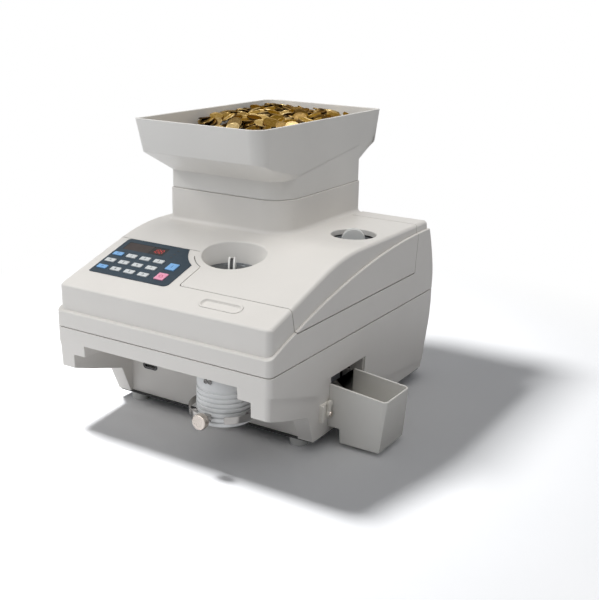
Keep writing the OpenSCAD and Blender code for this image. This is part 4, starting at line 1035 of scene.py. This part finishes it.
# outlines of the lower case, as (height, distance from the middle)
SET_BACK = [(BASE_Z, HALF_W - 5.0), (CHEEK_Z, HALF_W - 3.2), (CREASE_Z, HALF_W - 2.3),
            (SEAM_Z, HALF_W - 2.0)]
FULL = [(BASE_Z, HALF_W - 4.0), (80.0, HALF_W - 0.8), (CREASE_Z + 6, HALF_W), (SEAM_Z, HALF_W)]
FRONT = [(BASE_Z, -HALF_D + 1.5), (CHEEK_Z, -HALF_D + 1.5), (CREASE_Z, -HALF_D + 0.7),
         (CREASE_Z + 6, -HALF_D), (SEAM_Z, -HALF_D)]
REAR = [(BASE_Z, HALF_D - 12.3), (BASE_Z + 38, HALF_D - 8.3), (BASE_Z + 56, HALF_D - 5), (92.0, HALF_D - 1),
        (112.0, HALF_D), (SEAM_Z, rear_y(SEAM_Z))]


def at_height(profile, z):
    return float(np.interp(z, *zip(*profile)))


def lower_solid(t, z_low, z_high, half):
    """The lower case's outside, moved in by t: rounded rectangles, less the space under the front."""
    front_r = FRONT_R if half is FULL else FRONT_R - 2
    radii = [max(r - t, 1) for r in (front_r, front_r, REAR_CORNER_R, REAR_CORNER_R)]
    rings = []
    heights = {z for profile in (half, FRONT, REAR) for z, _ in profile if z_low < z < z_high}
    for z in sorted(heights | {z_low, z_high}):
        w, y0, y1 = at_height(half, z) - t, at_height(FRONT, z) + t, at_height(REAR, z) - t
        rings.append(at_level(round_rect(-w, y0, w, y1, radii, 12), z))
    under = [(FAR_FRONT_Y, CHEEK_Z + t), (-HALF_D + 1.5, CHEEK_Z + t), (-HALF_D + 36.3, CHEEK_Z - 12 + t),
             (-HALF_D + 59.8, CHEEK_Z - 19 + t), (-125 + t * 0.9, CHEEK_Z - 28 + t * 0.8),
             (BASE_FRONT_Y - 5 + t, BASE_Z + 3), (BASE_FRONT_Y - 5 + t, -5), (FAR_FRONT_Y, -5)]
    return cut(loft(rings), prism(under, -FAR_X, FAR_X, "x"))


def set_back(t=0.0, z_low=BASE_Z, z_high=SEAM_Z):
    """The lower case with its sides set back, as they are below the crease, moved in by t."""
    return lower_solid(t, z_low, z_high, SET_BACK)


def recess(t):
    """The space below the front lip, where the coin tube hangs."""
    wide = block(-CHEEK_X - t, CHEEK_X + t, FAR_FRONT_Y, BASE_FRONT_Y + t, -1, STEP_Z + t)
    return join(wide, block(-RECESS_X - t, RECESS_X + t, FAR_FRONT_Y, BASE_FRONT_Y + t, -1.5, LIP_Z + t))


def upper_skin():
    """The full-width skin above the crease, which falls to the rear, with a pocket around the tray."""
    above = prism(CREASE + [(230.0, SEAM_Z + 5), (-228.0, SEAM_Z + 5)], -FAR_X, FAR_X, "x")
    skin = keep(lower_solid(0, BASE_Z, SEAM_Z, FULL), above)
    rear = OPEN_Y[1] + 1.5
    pocket = [(-99, 5), (-102, 72), (-100, 82), (-94, 87.5), (-86, 89), (rear, 89), (rear, 5)]
    return cut(skin, prism(pocket, HALF_W - 9, FAR_X, "x"), recess(0))


def lower_piece():
    """The lower case. Its outer edges are rounded before the inside is taken out."""
    body = bevel(tidy_faces(cut(set_back(), recess(0)), 0.5), 1.1, 3, 24)
    join(body, upper_skin())
    cut(body, cut(set_back(WALL, BASE_Z - 1, SEAM_Z + 1), recess(WALL)))
    posts = [prism(circle(x, y, POST_R, 32), FLOOR_Z, SEAM_Z - 0.2) for x, y in CASE_POSTS]
    join(body, *[keep(post, set_back(0.5)) for post in posts])
    port = prism(pill_outline(24.2, 9.2, 16, *PORT), BASE_FRONT_Y - 1, BASE_FRONT_Y + 4, "y")
    sockets = [block(*across, 174, HALF_D + 1, 33, 57) for across in (INLET_X, SWITCH_X)]
    cut(body, block(HALF_W - 20, HALF_W + 10, *OPEN_Y, SILL_Z, OPEN_Z), *sockets,
        port, prism(circle(*TUBE, TUBE_R + 0.1, 96), LIP_Z - 1, LIP_Z + 4),
        block(-HALF_W - 1, HALF_W + 1, BASE_FRONT_Y - 5, HALF_D, BASE_Z - 1, FLOOR_Z))
    jamb = block(HALF_W - 22, HALF_W - 3.5, OPEN_Y[1] - 0.5, OPEN_Y[1] + 2, SILL_Z + 1, OPEN_Z + 1)
    join(body, bevel(jamb, 0.6))
    finish_piece(tidy_faces(body, 0.1), "lower_shell", "case", "case_plastic", "lower_case")


def catch_seat():
    """The catch's base on the right side: a plate, a raised bar and the pivot screw."""
    y, z = TRAY_Y[0] - 6.0, 43.0
    plate = bevel(block(HALF_W - 7.5, HALF_W - 1.5, y - 16, y + 5, z - 7, z + 15), 0.8, 3)
    cut(plate, set_back(0.05))
    join(plate, bevel(block(HALF_W - 3.0, HALF_W + 1.5, y - 16, y - 12.5, z - 7, z + 15), 1.0, 4))
    pivot = lathe([
        (0.01, -2.0), (2.0, -2.0), (2.0, 3.0), (3.4, 3.0), (3.6, 3.3), (3.3, 4.2), (2.3, 4.6),
        (0.01, 4.6)], (HALF_W, y, z), 40, "x")
    for w, h in ((4.6, 0.7), (0.7, 4.6)):
        cut(pivot, block(HALF_W + 3.9, HALF_W + 6, *around(y, w), *around(z, h)))
    finish_piece(merge([plate, pivot]), "catch_seat", "case", ["pale_plastic", "knob_nickel"],
                 "catch_bracket")


def port_piece():
    """A small data socket: a black flange, a steel shell and two rows of contacts."""
    def sleeve(w, d, wall, y0, y1):
        outer = prism(pill_outline(w, d, 14, *PORT), y0, y1, "y")
        return cut(outer, prism(pill_outline(w - 2 * wall, d - 2 * wall, 14, *PORT), y0 - 1, y1 - 2.0, "y"))

    flange = bevel(sleeve(24.0, 9.0, 1.5, BASE_FRONT_Y - 0.6, BASE_FRONT_Y + 8), 0.3)
    shell = sleeve(20.4, 5.8, 0.6, BASE_FRONT_Y - 0.2, BASE_FRONT_Y + 7)
    rows = (1.2, (-6, -3, 0, 3, 6)), (-1.2, (-4.5, -1.5, 1.5, 4.5))
    pins = [block(*around(PORT[0] + x, 0.8), BASE_FRONT_Y + 1, BASE_FRONT_Y + 5.5, *around(PORT[1] + z, 0.8))
            for z, row in rows for x in row]
    socket = merge([flange, shell, merge(pins, alike=True)])
    finish_piece(socket, "data_socket", "case", ["black_plastic", "screw_steel", "screw_steel"], "data_port")


def feet_piece():
    profile = [(0.01, 0.0), (10.1, 0.0), (11.1, 0.3), (11.5, 1.1), (13.0, 12.0), (0.01, 12.0)]
    feet = [lathe(profile, (x, y, 0), 48) for x in (-127.0, 127.0) for y in (-95.0, 170.0)]
    finish_piece(join(*feet), "rubber_feet", "case", "foot_rubber", "feet")


def tube_piece():
    """The coin outlet: bellows-like ribs at its foot, a plain sleeve and a collar."""
    top = TUBE_TOP - TUBE_Z
    profile = [(TUBE_R - 3.0, top), (TUBE_R - 3.0, 0.6), (TUBE_R - 2.4, 0.0)]
    for i in range(7):
        z, r, neck_r = 6.0 * i, TUBE_R + 1.0 - 0.12 * i, TUBE_R - 1.2
        profile += [(r - 0.5, z), (r, z + 0.4), (r, z + 3.7), (r - 0.4, z + 4.1)]
        profile += [(neck_r, z + 4.3), (neck_r, z + 5.7)]
    collar = (0, 43.5), (0, 59.0), (3.4, 59.0), (4.0, 59.6), (4.0, 61.4), (3.4, 62.0), (0, 62.0), (0, top)
    profile += [(TUBE_R + out, z) for out, z in collar]
    tube = lathe(profile, (*TUBE, TUBE_Z), 144)
    front = TUBE[1] - TUBE_R
    holes = [circle(TUBE[0] + side, SCREW_Z, 1.25, 20) for side in SCREW_X]
    cut(tube, *[prism(hole, front - 5, front + 2.7, "y") for hole in holes])
    finish_piece(tube, "tube_sleeve", "case", "tube_plastic", "coin_tube")


def knob_piece():
    """A nickel thumb screw with a fine knurl and a dished face."""
    x, z, y0, teeth, r = TUBE[0] + 2.5, BAND_Z, -226.0, 44, 9.4
    n = teeth * 4
    # (radius, distance back, share of the knurl's depth)
    profile = [(0.01, 0.7, 0), (5.0, 0.55, 0), (7.2, 0.0, 0), (8.6, 0.0, 0), (r - 0.15, 0.7, 1),
               (r, 1.2, 1), (r, 7.8, 1), (r - 0.15, 8.3, 1), (8.6, 9.0, 0), (2.5, 9.0, 0),
               (2.5, 21.2, 0), (0.01, 21.2, 0)]
    rings = []
    for k in range(n):
        a = 2 * pi * k / n
        dip = (0.0, 0.22, 0.32, 0.22)[k % 4]
        rings.append([(x + (q - dip * w) * cos(a), y0 + h, z + (q - dip * w) * sin(a))
                      for q, h, w in profile])
    knob = loft(rings, wrap=True)
    finish_piece(knob, "knurled_knob", "thumb_screw", "knob_nickel", "thumb_screw", smooth=25)


def cross_screws():
    """Pan heads with a cross recess, on the tube's front."""
    profile = [(0.01, -2.0), (1.4, -1.95), (2.3, -1.5), (2.7, -0.9), (2.7, -0.2), (1.2, -0.2), (1.2, 2.6),
               (0.01, 2.6)]
    heads = []
    for side in SCREW_X:
        x, y, z = TUBE[0] + side, TUBE[1] - TUBE_R, SCREW_Z
        head = lathe(profile, (x, y, z), 32, "y")
        for w, h in ((2.8, 0.5), (0.5, 2.8)):
            cut(head, block(*around(x, w), y - 3, y - 1.35, *around(z, h)))
        heads.append(head)
    finish_piece(join(*heads), "tube_screw_heads", "case", "screw_steel", "tube_screws")


def inlet_pins():
    """Three contact pins in the mains inlet."""
    x, y, z = -100.0, 204.0, 45.0
    pins = [bevel(block(*around(x + dx, 1.8), y - 16.2, y - 5.0, *around(z + dz, 4.0)), 0.5)
            for dx, dz in ((-5.0, -2.0), (0.0, 2.6), (5.0, -2.0))]
    finish_piece(merge(pins, alike=True), "inlet_pins", "case", "screw_steel")


lower_piece()
catch_seat()
softened("tray", "tray", "tray_plastic", 1.0, 4)
softened("tray_catch", "tray_catch", "pale_plastic", 0.6, 3)
softened("clamp_ring", "case", "band_chrome", 0.35, 2)
softened("power_inlet", "case", "black_plastic", 0.4, 2)
softened("power_switch", "power_switch", "black_plastic", 0.5, 2)
port_piece()
feet_piece()
tube_piece()
knob_piece()
cross_screws()
inlet_pins()

# ---- finishes of the pieces kept from the CAD model

KEPT = {
    # painted shade: the base plate's dark colour stands for the shade under the case's edge
    "plate_dark_shade": ["base_plate"],
    "sheet_steel": ["mech_deck", "coin_track", "reject_chute", "drop_chute", "diameter_rail",
                    "thickness_gate", "motor_pulley", "reject_gate"],
    "screw_steel": ["case_screws", "deck_posts", "hinge_pin"],
    "board_green": ["control_board", "coin_sensor", "main_board"],
    "dark_steel": ["feed_bowl", "gate_solenoid", "power_supply", "feed_disc"],
    "motor_black": ["drive_motor", "transport_motor"],
    "belt_rubber": ["drive_belt", "transport_belt", "drive_roller", "idler_roller"],
}
for name, nodes in KEPT.items():
    for node in nodes:
        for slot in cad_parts[node].material_slots:
            slot.material = MATERIALS[name]

# ---- floor, light and camera

FLOOR_BOOST = 0.35
FLOOR_HALF = 6.0                    # half the floor's side, in metres
ROOM_LIGHT = 0.20
LAMP_WARM, LAMP_COOL = (1.0, 0.985, 0.96), (0.94, 0.97, 1.0)
LAMPS = [("top_light", (0.25, 0.15, 1.9), 1.5, 16.2, LAMP_WARM),
         ("key_light", (-1.5, -0.9, 1.7), 0.6, 12.0, LAMP_WARM),
         ("fill_light", (-0.3, -2.2, 1.9), 1.2, 17.0, LAMP_COOL)]
CAMERA_AT = (0.6611, -1.0461, 0.5347)
CAMERA_AZ, CAMERA_EL, CAMERA_ROLL = (radians(a) for a in (31.28, 17.49, 1.24))
FOCAL_PX, IMAGE_PX, SENSOR = 978.47, 599.0, 36.0


def white_floor():
    """A pale floor. The camera sees it lifted, with its shadow, and fading to white further off."""
    tree, shader = node_material("floor_white", {"Roughness": 0.9})
    grain = noise(tree, 9.0, 4.0)
    fill(tree, shader, {
        "Base Color": ramp(tree, grain, (0.3, (0.80, 0.81, 0.83)), (0.7, (0.815, 0.825, 0.845))),
        "Normal": bump(tree, noise(tree, 400.0), 0.05, 0.0001)})
    plain = shader.outputs["BSDF"]
    lift = add_node(tree, "BsdfDiffuse", "BSDF", {"Color": (FLOOR_BOOST, FLOOR_BOOST, FLOOR_BOOST, 1)})
    lifted = add_node(tree, "AddShader", "Shader", {0: plain, 1: lift})
    place = add_node(tree, "TexCoord", "Object")
    distance = add_node(tree, "VectorMath", "Value", {0: place}, operation="LENGTH")
    fade = add_node(tree, "MapRange", "Result", {"Value": distance, "From Min": 0.42, "From Max": 0.82},
                    interpolation_type="SMOOTHSTEP")
    white = add_node(tree, "Emission", "Emission", {"Strength": 1.0})
    far = add_node(tree, "MixShader", "Shader", {"Fac": fade, 1: lifted, 2: white})
    to_camera = add_node(tree, "LightPath", "Is Camera Ray")
    seen = add_node(tree, "MixShader", "Shader", {"Fac": to_camera, 1: plain, 2: far})
    fill(tree, tree.nodes["Material Output"], {"Surface": seen})
    mesh = bpy.data.meshes.new("floor")
    with edited(mesh) as bm:
        bmesh.ops.create_grid(bm, x_segments=24, y_segments=24, size=FLOOR_HALF)
    mesh.materials.append(MATERIALS["floor_white"])
    floor = add_object("floor", mesh)
    return floor


def link_light(lamp, floor, state):
    """Makes a lamp light the floor alone (INCLUDE), or all but the floor (EXCLUDE)."""
    group = bpy.data.collections.new(lamp.name + "_link")
    group.objects.link(floor)
    group.collection_objects[0].light_linking.link_state = state
    lamp.light_linking.receiver_collection = group


def world_light():
    """A dim room that the camera, reflections and clear pieces see as white."""
    world = bpy.data.worlds.new("white_room")
    bpy.context.scene.world = world
    world.use_nodes = True
    tree = world.node_tree
    tree.nodes.clear()
    seen, room = (add_node(tree, "Background", "Background", {"Color": colour, "Strength": strength})
                  for colour, strength in (((1, 1, 1, 1), 1.0), ((0.97, 0.98, 1.0, 1), ROOM_LIGHT)))
    camera, glossy, clear = (add_node(tree, "LightPath", f"Is {kind} Ray")
                             for kind in ("Camera", "Glossy", "Transmission"))
    either = add_node(tree, "Math", "Value", {0: camera, 1: glossy}, operation="MAXIMUM")
    any_of = add_node(tree, "Math", "Value", {0: either, 1: clear}, operation="MAXIMUM")
    mixed = add_node(tree, "MixShader", "Shader", {"Fac": any_of, 1: room, 2: seen})
    fill(tree, tree.nodes.new("ShaderNodeOutputWorld"), {"Surface": mixed})


def area_light(name, place, target, size, power, colour=(1, 1, 1)):
    """A round lamp at a place in metres, which faces its target."""
    data = bpy.data.lights.new(name, "AREA")
    data.shape, data.size, data.energy, data.color = "DISK", size, power, colour
    lamp = add_object(name, data)
    place, target = Vector(place), Vector(target)
    turn = (target - place).to_track_quat("-Z", "Y").to_matrix().to_4x4()
    lamp.matrix_world = Matrix.Translation(place) @ turn
    return lamp


def photo_camera():
    data = bpy.data.cameras.new("camera")
    camera = add_object("camera", data)
    data.sensor_fit, data.sensor_width = "HORIZONTAL", SENSOR
    data.lens = FOCAL_PX / IMAGE_PX * SENSOR
    a, e, r = CAMERA_AZ, CAMERA_EL, CAMERA_ROLL
    back = Vector((sin(a) * cos(e), -cos(a) * cos(e), sin(e)))
    right = Vector((cos(a), sin(a), 0))
    up = back.cross(right)
    across = cos(r) * right + sin(r) * up
    above = -sin(r) * right + cos(r) * up
    turn = Matrix((across, above, back)).transposed().to_4x4()
    camera.matrix_world = Matrix.Translation(CAMERA_AT) @ turn
    bpy.context.scene.camera = camera


floor = white_floor()
world_light()
link_light(area_light("floor_light", (-0.83, -0.13, 1.5), (0, 0, 0.15), 0.3, 30.0), floor, "INCLUDE")
for name, place, size, power, colour in LAMPS:
    link_light(area_light(name, place, (0, 0, 0.2), size, power, colour), floor, "EXCLUDE")
photo_camera()
bpy.context.scene.view_settings.view_transform = "Standard"

bpy.context.view_layer.update()
